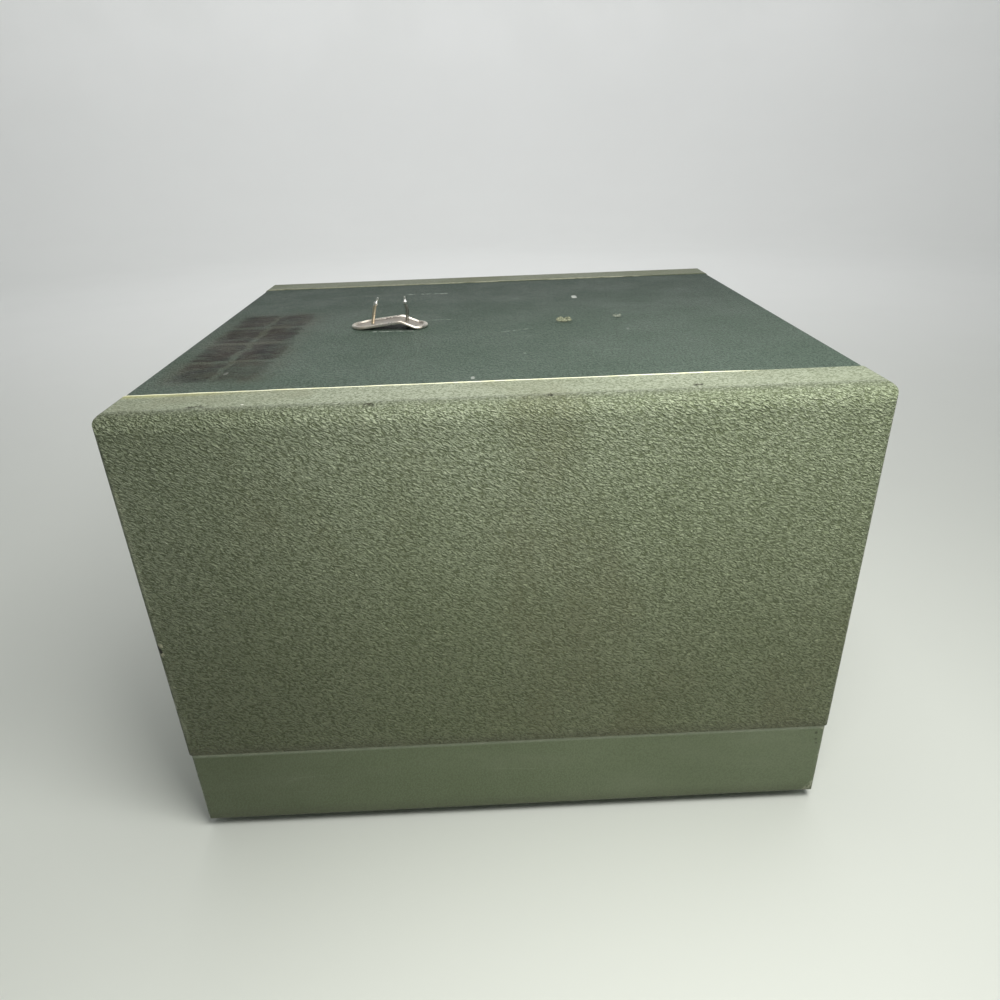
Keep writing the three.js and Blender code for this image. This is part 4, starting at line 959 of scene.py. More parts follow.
    def top_marks(self, look: Look) -> None:
        """Adds the scorch, scratches and specks of the top panel, with painted shade towards the back and a
        painted shadow along the seam and in front of each torn hole.

        Args:
            look: the material being made.
        """
        graph, top, place = look.graph, self.top, look.position
        burn = self.scorch(look)
        brown = look.cloud(70.0, 4.0, 0.35, 0.65)
        x, y, z = graph.parts(place)
        (west, south, _), (east, north, _) = self.grille
        halo = graph.product(
            graph.band(x, west - self.print_low, east + self.print_high, self.halo_soft),
            graph.band(y, south, north, self.halo_soft),
            graph.math("GREATER_THAN", z, top - 2 * MM),
        )
        look.paint(self.halo_color, halo, graph.ramp(brown, 0.0, 1.0, 0.35, 0.8))
        look.paint(graph.mix(brown, self.char_dark, self.char_light), burn)
        # painted shade: the top panel darkens towards the back
        look.paint(self.top_shade, graph.ramp(y, -30 * MM, 100 * MM), blend="MULTIPLY")
        seam = self.front[1].y
        look.paint(self.seam_shadow, graph.ramp(y, seam + 0.6 * MM, seam + 1.8 * MM, 0.8, 0.0))
        broken = look.cloud(420.0, 3.0, 0.42, 0.62)
        for start, end, half in self.scratches:
            line = graph.stroke(place, Vector((*start, top)), Vector((*end, top)), half, 0.4 * MM)
            look.paint(self.pale_scratch, line, broken, 0.75)
        for spot, radius, share in self.white_specks:
            centre, tall = Vector((*spot, top)), Vector((0.0, 1.5 * radius, 0.0))
            speck = graph.stroke(place, centre - tall, centre + tall, 0.75 * radius, 0.5 * MM)
            look.paint(self.white, speck, share)
        for (across, along), half in self.torn_places:
            # painted shadow: a dark patch in front of each torn hole, under its raised lip
            stain_and_shadow = graph.spot(place, (across, along - half[1], top), half[0] * 0.5, half[0] * 0.7)
            look.paint(self.hole_shadow, stain_and_shadow, 0.55)
        look.paint(self.pale_scratch, look.scratches(26.0, 0.55), 0.3)
        look.height = graph.product(look.height, graph.less(1.0, graph.product(burn, 0.3)))

    def front_marks(self, look: Look) -> None:
        """Smooths the lip, paints light and shade over the front face, the rear and the lower edge, and adds
        the worn streaks and stains of the front.

        Args:
            look: the material being made.
        """
        graph = look.graph
        x, y, z = graph.parts(look.position)
        low, high = self.front
        look.height = graph.product(look.height, graph.ramp(y, low.y + 5.5 * MM, low.y + 10 * MM, 1.0, 0.14))
        middle = low.x + self.shaded_length
        # painted light and shade: the front face is darker towards the bottom and the left, lighter towards
        # the top and the right, and bluer higher up
        shade = graph.product(
            graph.ramp(z, low.z + 10 * MM, high.z - 8 * MM, 0.72, 1.13),
            graph.ramp(x, low.x, middle, 0.74, 1.0),
            graph.ramp(x, middle, high.x, 1.0, 1.07),
        )
        cool_light_tint = graph.ramp(z, low.z, high.z, 0.93, 1.07)
        tint = {0: shade, 1: graph.product(shade, 1.03), 2: graph.product(shade, 0.88, cool_light_tint)}
        upright = graph.fade(y, low.y + 3 * MM, low.y + 9 * MM)
        look.paint(graph.node("CombineXYZ", tint).outputs[0], upright, blend="MULTIPLY")
        # painted shade: towards the rear the covering is pulled to a darker flat tone and darkened further
        rear = graph.ramp(y, 50 * MM, 100 * MM)
        look.paint(self.rear_shade_tone, rear, 0.6)
        look.paint(self.rear_shade, rear, blend="MULTIPLY")
        self.edge_scars(look)
        look.paint(self.brown_stain, look.cloud(17.0, 4.0, 0.5, 0.72, stretch=(1.0, 1.0, 0.4)), 0.35)
        yellowed = graph.fade(x, -155 * MM, -85 * MM), graph.band(y, low.y + 25 * MM, 0.0, 3 * MM)
        look.paint(self.yellow_stain, *yellowed, 0.55)
        ragged = look.cloud(700.0, 3.0, 0.47, 0.56)
        for start, end, half in self.lip_tears:
            line = graph.stroke(look.position, Vector((*start, high.z)), Vector((*end, high.z)), half, MM)
            tear = graph.product(line, ragged)
            look.paint(self.tear_dark, tear, 0.85)
            look.height = graph.less(look.height, graph.product(tear, 1.4))
        look.paint(self.dot_pale, graph.spot(look.position, (*self.lip_dot, high.z), 0.55 * MM, 0.3 * MM))
        # painted shadow: the front darkens towards its bottom edge, where it meets the tray
        look.paint(self.low_edge_shade, graph.ramp(z, low.z, low.z + 7 * MM, 0.45, 0.0))

    def edge_scars(self, look: Look) -> None:
        """Adds the worn streak and the torn nick of the front's left edge.

        Args:
            look: the material being made.
        """
        graph = look.graph
        x, _, z = graph.parts(look.position)
        low = self.front[0]
        streak = graph.band(x, low.x + 1.4 * MM, low.x + 3.2 * MM, 0.9 * MM)
        broken = look.cloud(300.0, 4.0, 0.38, 0.6, rough=0.7, stretch=(1.0, 1.0, 0.3))
        upper = graph.band(z, 122 * MM, 195 * MM, 6 * MM)
        lower = graph.product(graph.band(z, 62 * MM, 105 * MM, 6 * MM), 0.7)
        look.paint(self.streak_pale, streak, broken, graph.math("ADD", upper, lower, clamp=True), 0.6)
        ragged = graph.jitter(look.position, 900.0, 2.0, 2.2 * MM)
        for across, up in self.edge_flakes:
            look.paint(self.flake_pale, graph.spot(ragged, (across, low.y, up), 1.2 * MM, 0.5 * MM), 0.8)
        start, end = (Vector((across, low.y, up)) for across, up in self.edge_nick)
        look.paint(self.nick_dark, graph.stroke(ragged, start, end, 0.8 * MM, 0.6 * MM))

    def dress_all(self) -> None:
        """Gives the coverings and the boards their materials."""
        sage = Leatherette(
            color=(0.298, 0.333, 0.241),
            light=(0.344, 0.377, 0.288),
            dark=(0.112, 0.132, 0.074),
            worn=(0.42, 0.43, 0.34),
            cells=1480.0,
            depth=0.00125,
            stretch=2.5,
            pit_shade=0.86,
            crest=0.6,
            crease=0.35,
            roughness=0.44,
            extra=self.front_marks,
        )
        sage.dress("sage leatherette", "cover_front_covering", "cover_back_covering", box=self.box)
        green = Leatherette(
            color=(0.094, 0.133, 0.104),
            light=(0.107, 0.148, 0.118),
            dark=(0.036, 0.054, 0.041),
            worn=(0.20, 0.21, 0.16),
            cells=1200.0,
            depth=0.0006,
            along=(0.5, 0.866, 0.0),
            stretch=1.4,
            gloss=0.1,
            pit_shade=0.7,
            crease=0.3,
            roughness=0.44,
            wear=0.0009,
            extra=self.top_marks,
        )
        green.dress("dark green leatherette", "cover_top_covering", box=self.box)
        dress_boards("cover", "top")

    def cut_edge_bead(self, name: str, y: float, toward: float, finish: PaintMark, look_name: str) -> None:
        """Builds the cut edge of a sage covering, up one end, over the top and down the other end.

        Args:
            name: the piece's name.
            y: where the covering ends.
            toward: the side that the dark panel lies on, 1 or -1.
            finish: the edge's finish.
            look_name: the name of its material.
        """
        low, high = self.front
        corner, quarter = self.bead_corner, 4
        left, right = low.x + self.bead_inset, high.x - self.bead_inset
        foot, top = low.z + 1 * MM, high.z - self.bead_inset
        ups, overs = int((top - foot) / self.bead_step), int((right - left) / self.bead_step)

        shoulder, start, end = top - corner, left + corner, right - corner

        def bend(centre: float, begin: float) -> list[Vector]:
            """Gives a quarter turn clockwise at an upper corner."""
            turns = [begin - math.pi / 2 * i / quarter for i in range(quarter + 1)]
            return [
                Vector((centre + corner * math.cos(a), y, shoulder + corner * math.sin(a))) for a in turns
            ]

        rise = [Vector((left, y, foot + (shoulder - foot) * i / ups)) for i in range(ups)]
        over = [Vector((start + (end - start) * i / overs, y, top)) for i in range(1, overs)]
        fall = [Vector((right, y, point.z)) for point in reversed(rise)]
        path = rise + bend(start, math.pi) + over + bend(end, math.pi / 2) + fall
        wavy = [point + Vector((0, toward * self.random.uniform(-0.12, 0.16) * MM, 0)) for point in path]
        worn = [min(1.0, max(0.3, 1.0 - (point.x - self.bead_end) / self.bead_fade)) for point in wavy]
        radii = [self.bead_width / 2 * self.random.uniform(0.85, 1.1) * share for share in worn]
        shape = swept(wavy, radii, self.bead_sides, self.bead_height / self.bead_width)
        add_piece(name, shape, finish.make(look_name), Body.COVER)

    def torn_hole(self, name: str, centre: Vector, half: Vector, material: bpy.types.Material) -> None:
        """Builds the ragged raised lip of vinyl round a torn nail hole.

        Args:
            name: the piece's name.
            centre: the hole's middle on the top.
            half: half the lip's length and width, and its height.
            material: the torn backing's material.
        """
        count = self.torn_steps
        wild = [self.random.uniform(0.72, 1.12) for _ in range(count)]
        ragged = [(wild[i - 1] + 2 * wild[i] + wild[(i + 1) % count]) / 4 for i in range(count)]
        rings = []
        for reach, rise in self.torn_profile:
            ring = []
            for rag, angle in zip(ragged, angles(count)):
                share = reach * (rag if reach > 0.4 else 1.0)
                wave = 1.0 + 0.35 * math.sin(3 * angle + 0.6) + 0.2 * math.sin(7 * angle)
                lift = rise * (wave if rise > 0.1 else 1.0)
                ring.append(centre + half * Vector((share * math.cos(angle), share * math.sin(angle), lift)))
            rings.append(ring)
        add_piece(name, tube(rings, Ends.JOINED), material, Body.COVER, 60.0)

    def build(self) -> None:
        """Builds the cut edges and the torn places, and dresses the cover."""
        self.dress_all()
        pale = PaintMark((0.95, 0.95, 0.76), (0.86, 0.85, 0.58), 0.6, 300.0)
        # painted shade: the back cut edge is a darker copy of the pale front one
        dull = PaintMark((0.40, 0.41, 0.31), (0.30, 0.31, 0.22), 0.65, 300.0)
        under = 0.3 * MM
        self.cut_edge_bead("front_cut_edge", self.front[1].y - under, 1, pale, "pale cut edge")
        self.cut_edge_bead("back_cut_edge", self.back_edge.y + under, -1, dull, "dull cut edge")
        backing = PaintMark((0.33, 0.345, 0.23), (0.06, 0.075, 0.045), 0.75, 900.0)
        greyed = PaintMark((0.30, 0.33, 0.27), (0.06, 0.08, 0.06), 0.75, 1100.0)
        looks = backing.make("torn vinyl backing"), greyed.make("torn vinyl backing, greyed")
        for name, (centre, half), torn in zip(("inner", "outer"), self.torn_places, looks):
            self.torn_hole(f"torn_hole_{name}", Vector((*centre, self.top)), Vector(half), torn)


@dataclass(frozen=True)
class PulledNail:
    """A pulled nail with its bent shaft and its crushed end, which stands above the CAD nail by an extra.

    Each bend in lean is a share of the height, and the offsets along X and Y there.
    """

    name: str
    node: str
    extra: float
    color: Color
    tarnish: Color
    lean: tuple[Triple, ...]
    radius: float = 0.9 * MM
    shaft_share: float = 0.95
    point_share: float = 0.6
    ball_share: float = 1.3
    ball_below: float = 3.0 * MM
    ball_half: float = 1.05 * MM
    steps: int = 40
    sides: int = 14

    def paint_tip_highlight(self, look: Look) -> None:
        """Paints a highlight on the crushed end.

        Args:
            look: the material being made.
        """
        start = low_high(self.node)[1].z + self.extra - self.ball_below - self.ball_half
        z = look.graph.parts(look.position)[Axis.Z]
        # painted highlight: the crushed end is painted near white
        look.paint((0.97, 0.97, 0.95), look.graph.ramp(z, start - 0.1 * MM, start + 0.4 * MM))

    def build(self, placed: Callable[[Vector], Vector]) -> None:
        """Builds the nail.

        Args:
            placed: the function that turns a point with the plate.
        """
        low, high = low_high(self.node)
        tall = high.z + self.extra - low.z
        ball_at = 1 - self.ball_below / tall
        leans_right = self.lean[-1][1] >= self.lean[0][1]
        start = low.x + self.radius if leans_right else high.x - self.radius
        foot = placed(Vector((start, (low.y + high.y) / 2, low.z)))
        path, radii = [], []
        for i in range(self.steps + 1):
            share = i / self.steps
            before = Vector(max(bend for bend in self.lean if bend[0] <= share))
            after = Vector(min(bend for bend in self.lean if bend[0] >= share))
            _, dx, dy = before.lerp(after, (share - before[0]) / max(after[0] - before[0], 1e-6))
            path.append(foot + Vector((dx, dy, tall * share)))
            ball = max(0.0, 1 - ((share - ball_at) * tall / self.ball_half) ** 2) ** 0.5
            shaft = self.shaft_share if share < ball_at else self.point_share
            radii.append(self.radius * max(shaft, self.ball_share * ball))
        metal = Metal(self.color, self.tarnish, 0.3, (12.0, 12.0, 2.0), 0.5, extra=self.paint_tip_highlight)
        material = metal.make(self.name.replace("_", " "))
        piece = add_piece(self.name, swept(path, radii, self.sides), material, Body.COVER)
        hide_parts(self.node)


@dataclass
class HandleRemains:
    """The pressed end plate of the lost handle, and the two nails through it."""

    twist: float = math.radians(-9.0)
    forward: float = 5.2 * MM
    width_share: float = 0.78
    ridge_share: float = 0.665
    ridge_rise: float = 3.25 * MM
    ridge_round: Pair = (0.93, 0.05)
    flat_end: float = 5.5 * MM
    rim: float = 2.1 * MM
    rim_height: float = 1.65 * MM
    metal: float = 0.8 * MM
    round_steps: int = 36
    side_steps: int = 30
    nails: tuple[PulledNail, ...] = (
        PulledNail(
            "nail_bright", "handle_nail_left", 1.4 * MM, (0.72, 0.64, 0.50), (0.48, 0.37, 0.25),
            (
                (0.0, -1.3 * MM, 0.0),
                (0.38, -0.3 * MM, 0.0),
                (0.80, 1.7 * MM, 0.1 * MM),
                (0.865, 2.5 * MM, 0.15 * MM),
                (1.0, 3.8 * MM, 0.3 * MM),
            ),
        ),
        PulledNail(
            "nail_dull", "handle_nail_right", 2.1 * MM, (0.40, 0.39, 0.36), (0.16, 0.14, 0.11),
            (
                (0.0, 0.6 * MM, 0.0),
                (0.4, 0.8 * MM, 0.0),
                (0.65, 1.3 * MM, 0.1 * MM),
                (0.73, 1.1 * MM, 0.1 * MM),
                (0.79, 0.7 * MM, 0.1 * MM),
                (0.85, 0.5 * MM, 0.15 * MM),
                (1.0, 0.45 * MM, 0.2 * MM),
            ),
        ),
    )

    def __post_init__(self) -> None:
        """Reads the plate's place from the frame."""
        self.low, self.high = low_high("handle_end_plate")
        self.middle = middle_of("handle_end_plate")
        self.wide = (self.high.y - self.low.y) / 2 * self.width_share
        self.straight = (self.high.x - self.low.x) / 2 - self.wide

    def placed(self, point: Vector) -> Vector:
        """Turns a point with the plate about the plate's middle and moves it to the front."""
        turned = Matrix.Rotation(self.twist, 3, "Z") @ (point - self.middle)
        return self.middle + turned - Vector((0, self.forward, 0))

    def outline(self, inset: float) -> list[Vector]:
        """Gives the plate's outline, two half circles with straight sides between them.

        Args:
            inset: how far the outline is drawn in.

        Returns:
            The points of the outline.
        """
        radius = max(self.wide - inset, 0.02 * MM)
        points = []
        for end in (1, -1):
            for i in range(self.round_steps):
                angle = math.pi * ((i + 0.5) / self.round_steps - 0.5)
                point = Vector((self.straight + radius * math.cos(angle), radius * math.sin(angle), 0))
                points.append(self.middle + end * point)
            for i in range(self.side_steps):
                along = self.straight * (1 - 2 * (i + 0.5) / self.side_steps)
                points.append(self.middle + end * Vector((along, radius, 0)))
        return points

    def lifted(self, point: Vector, z: float) -> Vector:
        """Lifts a point by the plate's fold.

        Args:
            point: the point on the flat plate.
            z: its height above the case.

        Returns:
            The point on the folded plate.
        """
        ridge = self.low.x + (self.high.x - self.low.x) * self.ridge_share
        end = self.low.x + self.flat_end if point.x < ridge else self.high.x - self.flat_end
        share = (point.x - end) / (ridge - end)
        begin, loss = self.ridge_round
        soft = share - loss * max(0.0, share - begin) / (1 - begin)
        return Vector((point.x, point.y, z + self.ridge_rise * max(soft, 0.0)))

    def plate(self, material: bpy.types.Material) -> None:
        """Builds the bent plate with its rolled rim and sunk middle.

        Args:
            material: the plate's material.
        """
        bottom, rim, centre = self.low.z, self.rim, self.wide - 0.1 * MM
        floor, crest = bottom + self.metal, bottom + self.rim_height
        section = (
            (centre, floor),
            (self.wide * 0.55, floor),
            (rim + 0.5 * MM, floor),
            (rim, floor + 0.12 * MM),
            (rim * 0.80, crest - 0.14 * MM),
            (rim * 0.55, crest),
            (rim * 0.28, crest - 0.12 * MM),
            (rim * 0.08, crest - 0.45 * MM),
            (0.0, crest - 0.8 * MM),
            (0.0, bottom + 0.25 * MM),
            (rim * 0.3, bottom),
            (rim + 0.6 * MM, bottom),
            (centre, bottom),
        )
        rings = [
            [self.lifted(self.placed(point), z) for point in self.outline(inset)] for inset, z in section
        ]
        points, faces = tube(rings, Ends.OPEN)
        count, tip = len(rings[0]), self.round_steps // 2
        for start, turn in ((0, 1), (len(points) - count, -1)):
            for step in range(count // 2 - 1):
                strip = (tip - 1 - step, tip - 2 - step, tip + 1 + step, tip + step)
                faces.append([start + corner % count for corner in strip][::turn])
        shape = points, faces
        piece = add_piece("handle_plate_pressed", shape, material, Body.COVER, 50.0)
        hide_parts("handle_end_plate")

    def tarnish(self, look: Look) -> None:
        """Browns the plate's sunk middle and leaves its rim bright.

        Args:
            look: the material being made.
        """
        graph = look.graph
        back = graph.vector("ADD", look.position, (0.0, self.forward, 0.0))
        inputs = {"Vector": back, "Center": self.middle, "Angle": -self.twist}
        turned = graph.node("VectorRotate", inputs, rotation_type="Z_AXIS").outputs[0]
        x, y, _ = graph.parts(graph.vector("SUBTRACT", turned, self.middle))
        past = graph.math("MAXIMUM", graph.less(graph.math("ABSOLUTE", x), self.straight), 0.0)
        far = graph.math("SQRT", graph.math("ADD", graph.product(past, past), graph.product(y, y)))
        ragged = look.cloud(380.0, 4.0, 0.3, 0.7, -0.7 * MM, 0.7 * MM, rough=0.7)
        edge = self.wide - self.rim
        sunk = graph.fade(graph.math("ADD", far, ragged), edge - 0.6 * MM, edge + 0.5 * MM)
        look.paint((0.40, 0.35, 0.30), sunk, 0.85)

    def build(self) -> None:
        """Builds the plate and both nails."""
        nickel = Metal(
            (0.86, 0.82, 0.74), (0.40, 0.31, 0.22), 0.3, (4.0, 4.0, 4.0), 0.5, 0.00009, self.tarnish
        )
        self.plate(nickel.make("tarnished nickel"))
        for nail in self.nails:
            nail.build(self.placed)


@dataclass
class CaseBase:
    """The tray: its covering, boards, rim and feet.

    Its scars are placed from the front's lower right corner.
    """

    smear: Color = (0.21, 0.24, 0.16)
    shade: Color = (0.045, 0.052, 0.030)
    rim_highlight: Color = (0.42, 0.46, 0.36)
    flake_pale: Color = (0.47, 0.48, 0.36)
    pit_dark: Color = (0.05, 0.055, 0.035)
    low_edge_shade: Color = (0.085, 0.085, 0.06)
    scuff: Color = (0.36, 0.38, 0.30)
    flakes: tuple[Stroke, ...] = (
        ((-0.0050, 0.0012), (-0.0014, 0.0062), 0.9 * MM),
        ((-0.0235, 0.0008), (-0.0225, 0.0008), 0.5 * MM),
        ((-0.0016, 0.0440), (-0.0004, 0.0436), 1.1 * MM),
    )
    pits: tuple[tuple[Pair, float], ...] = (
        ((-0.0046, 0.0401), 0.7 * MM),
        ((-0.0042, 0.0361), 0.6 * MM),
        ((-0.0036, 0.0335), 0.4 * MM),
        ((-0.0247, 0.0010), 0.5 * MM),
    )

    def marks(self, look: Look) -> None:
        """Adds the smears, scuffs, flakes and pits of the tray's covering, with painted shade on its left and
        towards its bottom and a painted highlight along its top edge.

        Args:
            look: the material being made.
        """
        graph = look.graph
        low, high = low_high("base_covering")
        x, _, z = graph.parts(look.position)
        smeared = look.cloud(45.0, 5.0, 0.45, 0.75, rough=0.65, stretch=(0.3, 0.3, 1.0))
        look.paint(self.smear, smeared, 0.35)
        # painted shade: the tray darkens towards its left end
        look.paint(self.shade, graph.ramp(x, low.x, low.x + 130 * MM, 0.34, 0.0))
        # painted highlight: a light band along the tray's top edge
        look.paint(self.rim_highlight, graph.ramp(z, high.z - 2.2 * MM, high.z - 0.8 * MM), 0.4)
        ragged = look.cloud(520.0, 5.0, 0.42, 0.55, rough=0.7)

        def scar(place: Pair) -> Vector:
            """Gives a scar's place on the front."""
            return Vector((high.x + place[0], low.y, low.z + place[1]))

        for start, end, half in self.flakes:
            flake = graph.stroke(look.position, scar(start), scar(end), half, MM)
            look.paint(self.flake_pale, flake, ragged, 0.8)
        for place, radius in self.pits:
            look.paint(self.pit_dark, graph.spot(look.position, scar(place), radius, 0.6 * MM), 0.85)
        # painted shade: the tray darkens towards its bottom edge
        look.paint(self.low_edge_shade, graph.ramp(z, low.z, low.z + 10 * MM, 0.45, 0.0))
        look.paint(self.scuff, look.scratches(34.0, 0.5), 0.35)

    def build(self) -> None:
        """Dresses the tray."""
        vinyl = Leatherette(
            color=(0.149, 0.183, 0.105),
            light=(0.173, 0.210, 0.125),
            dark=(0.090, 0.110, 0.060),
            worn=(0.33, 0.35, 0.26),
            cells=1100.0,
            depth=0.00012,
            crease=0.25,
            roughness=0.47,
            wear=0.0011,
            extra=self.marks,
        )
        vinyl.dress("smooth sage vinyl", "base_covering")
        dress_boards("base", "floor")
        Enamel((0.07, 0.09, 0.07), 700.0).dress("painted rim", "base_locating_rim")
        rubber = Moulded((0.022, 0.022, 0.021), (0.06, 0.06, 0.055), 0.75, 900.0, 0.0001, 0.25)
        feet = (f"foot_{corner}" for corner in ("front_left", "front_right", "back_left", "back_right"))
        rubber.dress("foot rubber", *feet)


@dataclass
class Latches:
    """The draw latches on both ends."""

    ends: tuple[str, str] = ("left", "right")

    def build(self) -> None:
        """Dresses every latch piece."""
        plated = Metal((0.60, 0.58, 0.53), (0.26, 0.20, 0.14), 0.28, (6.0, 6.0, 1.5), 0.5, 0.00006)
        pieces = (f"latch_{piece}_{end}" for end in self.ends for piece in ("plate", "lever", "keeper"))
        plated.dress("latch nickel", *pieces)
        wire = Metal((0.56, 0.55, 0.52), (0.22, 0.17, 0.12), 0.26, (3.0, 3.0, 3.0), 0.4)
        wire.dress("latch wire", *(f"latch_bail_{end}" for end in self.ends))


# The projector

SAGE_ENAMEL = Enamel((0.27, 0.315, 0.24))
MATT_BLACK = Enamel((0.03, 0.032, 0.03), 1200.0, 0.0001, 0.6)


@dataclass
class LampEnd:
    """Lower housing, lamp house, grille, lamp, reflector, condenser and blower."""

    filament_coils: int = 6
    filament_width: float = 7 * MM
    filament_height: float = 8 * MM
    support_radius: float = 0.35 * MM
    filament_radius: float = 0.45 * MM
    wire_sides: int = 6

    def filament(self) -> None:
        """Builds the lamp's zigzag filament on its two posts."""
        x, y, _ = middle_of("lamp_glass")
        z, foot = middle_of("condenser_rear").z, low_high("lamp_glass")[0].z
        wide, tall, runs = self.filament_width / 2, self.filament_height / 2, self.filament_coils * 2
        tungsten = Metal((0.45, 0.45, 0.46), (0.2, 0.2, 0.21), 0.35, (1.0, 1.0, 1.0), 0.2)
        material = tungsten.make("filament wire")
        coil = []
        for i in range(runs + 1):
            coil.append(Vector((x, y - wide + 2 * wide * i / runs, z + (tall if i % 2 else -tall))))
        wires = [("lamp_filament", coil, self.filament_radius)]
        bends = ((3 * MM, foot + 0.5 * MM), (5 * MM, foot + 14 * MM), (wide, z - tall))
        for side, name in ((-1, "front"), (1, "back")):
            post = [Vector((x, y + side * out, up)) for out, up in bends]
            wires.append((f"lamp_post_{name}", post, self.support_radius))
        for name, path, radius in wires:
            shape = swept(path, [radius] * len(path), self.wire_sides)
            add_piece(name, shape, material, Body.BASE)

    def build(self) -> None:
        """Dresses the lamp end and builds the filament."""
        SAGE_ENAMEL.dress("lamp house enamel", "lamp_house")
        Enamel((0.052, 0.075, 0.056), 600.0, 0.0004, 0.5).dress("lower housing enamel", "lower_housing")
        MATT_BLACK.dress("condenser holder black", "condenser_holder")
        for name, nodes, metal in (
            ("grille aluminium", ["top_grille"],
             Metal((0.72, 0.72, 0.71), (0.35, 0.3, 0.24), 0.33, (12.0, 1.0, 12.0), 0.45)),
            ("spun reflector", ["reflector"],
             Metal((0.86, 0.86, 0.85), (0.5, 0.46, 0.38), 0.12, (2.0, 2.0, 2.0), 0.25)),
            ("fan aluminium", ["fan_wheel"],
             Metal((0.66, 0.67, 0.68), (0.3, 0.29, 0.27), 0.38, (3.0, 3.0, 3.0), 0.4)),
            ("motor steel", ["blower_motor", "motor_shaft"],
             Metal((0.50, 0.50, 0.50), (0.2, 0.15, 0.11), 0.33, (12.0, 12.0, 1.0), 0.4)),
            ("lamp brass", ["lamp_base"],
             Metal((0.68, 0.50, 0.24), (0.3, 0.19, 0.09), 0.28, (2.0, 2.0, 12.0), 0.5)),
        ):
            metal.dress(name, *nodes)
        ceramic = Moulded((0.74, 0.71, 0.64), (0.62, 0.57, 0.47), 0.25, 500.0, 0.00002, 0.1)
        ceramic.dress("socket ceramic", "lamp_socket")
        ClearGlass((0.96, 0.97, 0.97), 0.01).dress("lamp glass", "lamp_glass")
        ClearGlass((0.93, 0.97, 0.96)).dress("condenser glass", "condenser_rear", "condenser_front")
        ClearGlass((0.80, 0.93, 0.90)).dress("heat absorbing glass", "heat_glass")
        Moulded((0.014, 0.013, 0.012), (0.045, 0.036, 0.028)).dress("inlet phenolic", "mains_inlet")
        self.filament()


@dataclass
class LensEnd:
    """Nose housing, gate, carrier, lens, focusing drive, switch and elevating screw."""

    mark_width: float = 1.1 * MM
    mark_height: float = 0.25 * MM
    mark_lift: float = 0.02 * MM
    mark_steps: int = 6
    mark_sides: int = 8
    baffle_rings: int = 4
    baffle_sides: int = 48
    baffle_wall: float = 1.3 * MM

    def pointer_mark(self) -> None:
        """Builds the white inlaid line on the switch knob's pointer."""
        high, middle = low_high("switch_knob")[1], middle_of("switch_knob")
        start, end, count = middle.y + 1.5 * MM, high.y - 0.8 * MM, self.mark_steps
        along = [start + (end - start) * i / count for i in range(count + 1)]
        path = [Vector((middle.x, y, high.z + self.mark_lift)) for y in along]
        radii = [self.mark_width / 2] * len(path)
        shape = swept(path, radii, self.mark_sides, self.mark_height / self.mark_width)
        white = PaintMark((0.78, 0.77, 0.70), (0.66, 0.64, 0.55), 0.5).make("white inlay")
        add_piece("switch_pointer_line", shape, white, Body.SWITCH)

    def baffles(self) -> None:
        """Builds the ribbed black rings inside the lens barrel."""
        glass, centre = low_high("lens_front_element"), middle_of("lens_front_element")
        outer = glass[1].y - centre.y
        inner = outer - self.baffle_wall
        start, end = glass[1].x + 0.3 * MM, low_high("lens_barrel")[1].x - 1 * MM
        profile = [(start, inner)]
        for i in range(self.baffle_rings):
            for part, step in ((0.5, 0.0), (0.75, 0.5 * MM)):
                profile.append((start + (end - start) * (i + part) / self.baffle_rings, inner + step))
        profile += [(end, inner + 0.6 * MM), (end, outer), (start, outer)]
        rings = []
        for x, radius in profile:
            turn = [(radius * math.cos(a), radius * math.sin(a)) for a in angles(self.baffle_sides)]
            rings.append([Vector((x, centre.y + y, centre.z + z)) for y, z in turn])
        black = Moulded((0.008, 0.008, 0.008), (0.02, 0.02, 0.02), 0.6).make("lens baffle black")
        add_piece("lens_baffle", tube(rings, Ends.JOINED), black, Body.LENS, 30.0)

    def build(self) -> None:
        """Dresses the lens end and builds its small pieces."""
        SAGE_ENAMEL.dress("nose enamel", "nose_housing")
        MATT_BLACK.dress("gate black", "slide_gate")
        for name, nodes, metal in (
            ("carrier aluminium", ["slide_carrier"],
             Metal((0.70, 0.71, 0.71), (0.36, 0.33, 0.28), 0.34, (12.0, 1.0, 12.0), 0.4)),
            ("mount aluminium", ["lens_mount"],
             Metal((0.72, 0.72, 0.71), (0.4, 0.37, 0.3), 0.27, (2.0, 12.0, 12.0), 0.35)),
            ("shaft steel", ["focus_shaft", "elevation_screw"],
             Metal((0.55, 0.55, 0.55), (0.22, 0.17, 0.12), 0.28, (12.0, 1.0, 12.0), 0.35)),
            ("bushing brass", ["elevation_bushing"],
             Metal((0.66, 0.48, 0.23), (0.3, 0.2, 0.1), 0.3, (2.0, 2.0, 12.0), 0.5)),
        ):
            metal.dress(name, *nodes)
        phenolic = Moulded((0.014, 0.013, 0.012), (0.05, 0.042, 0.034))
        knobs = (f"{what}_knob" for what in ("focus", "carrier", "switch", "elevation"))
        phenolic.dress("knob phenolic", *knobs, "lens_barrel")
        coated = ClearGlass((0.86, 0.88, 0.97), 0.01)
        coated.dress("coated lens glass", "lens_front_element", "lens_rear_element")
        self.pointer_mark()
        self.baffles()


# The studio


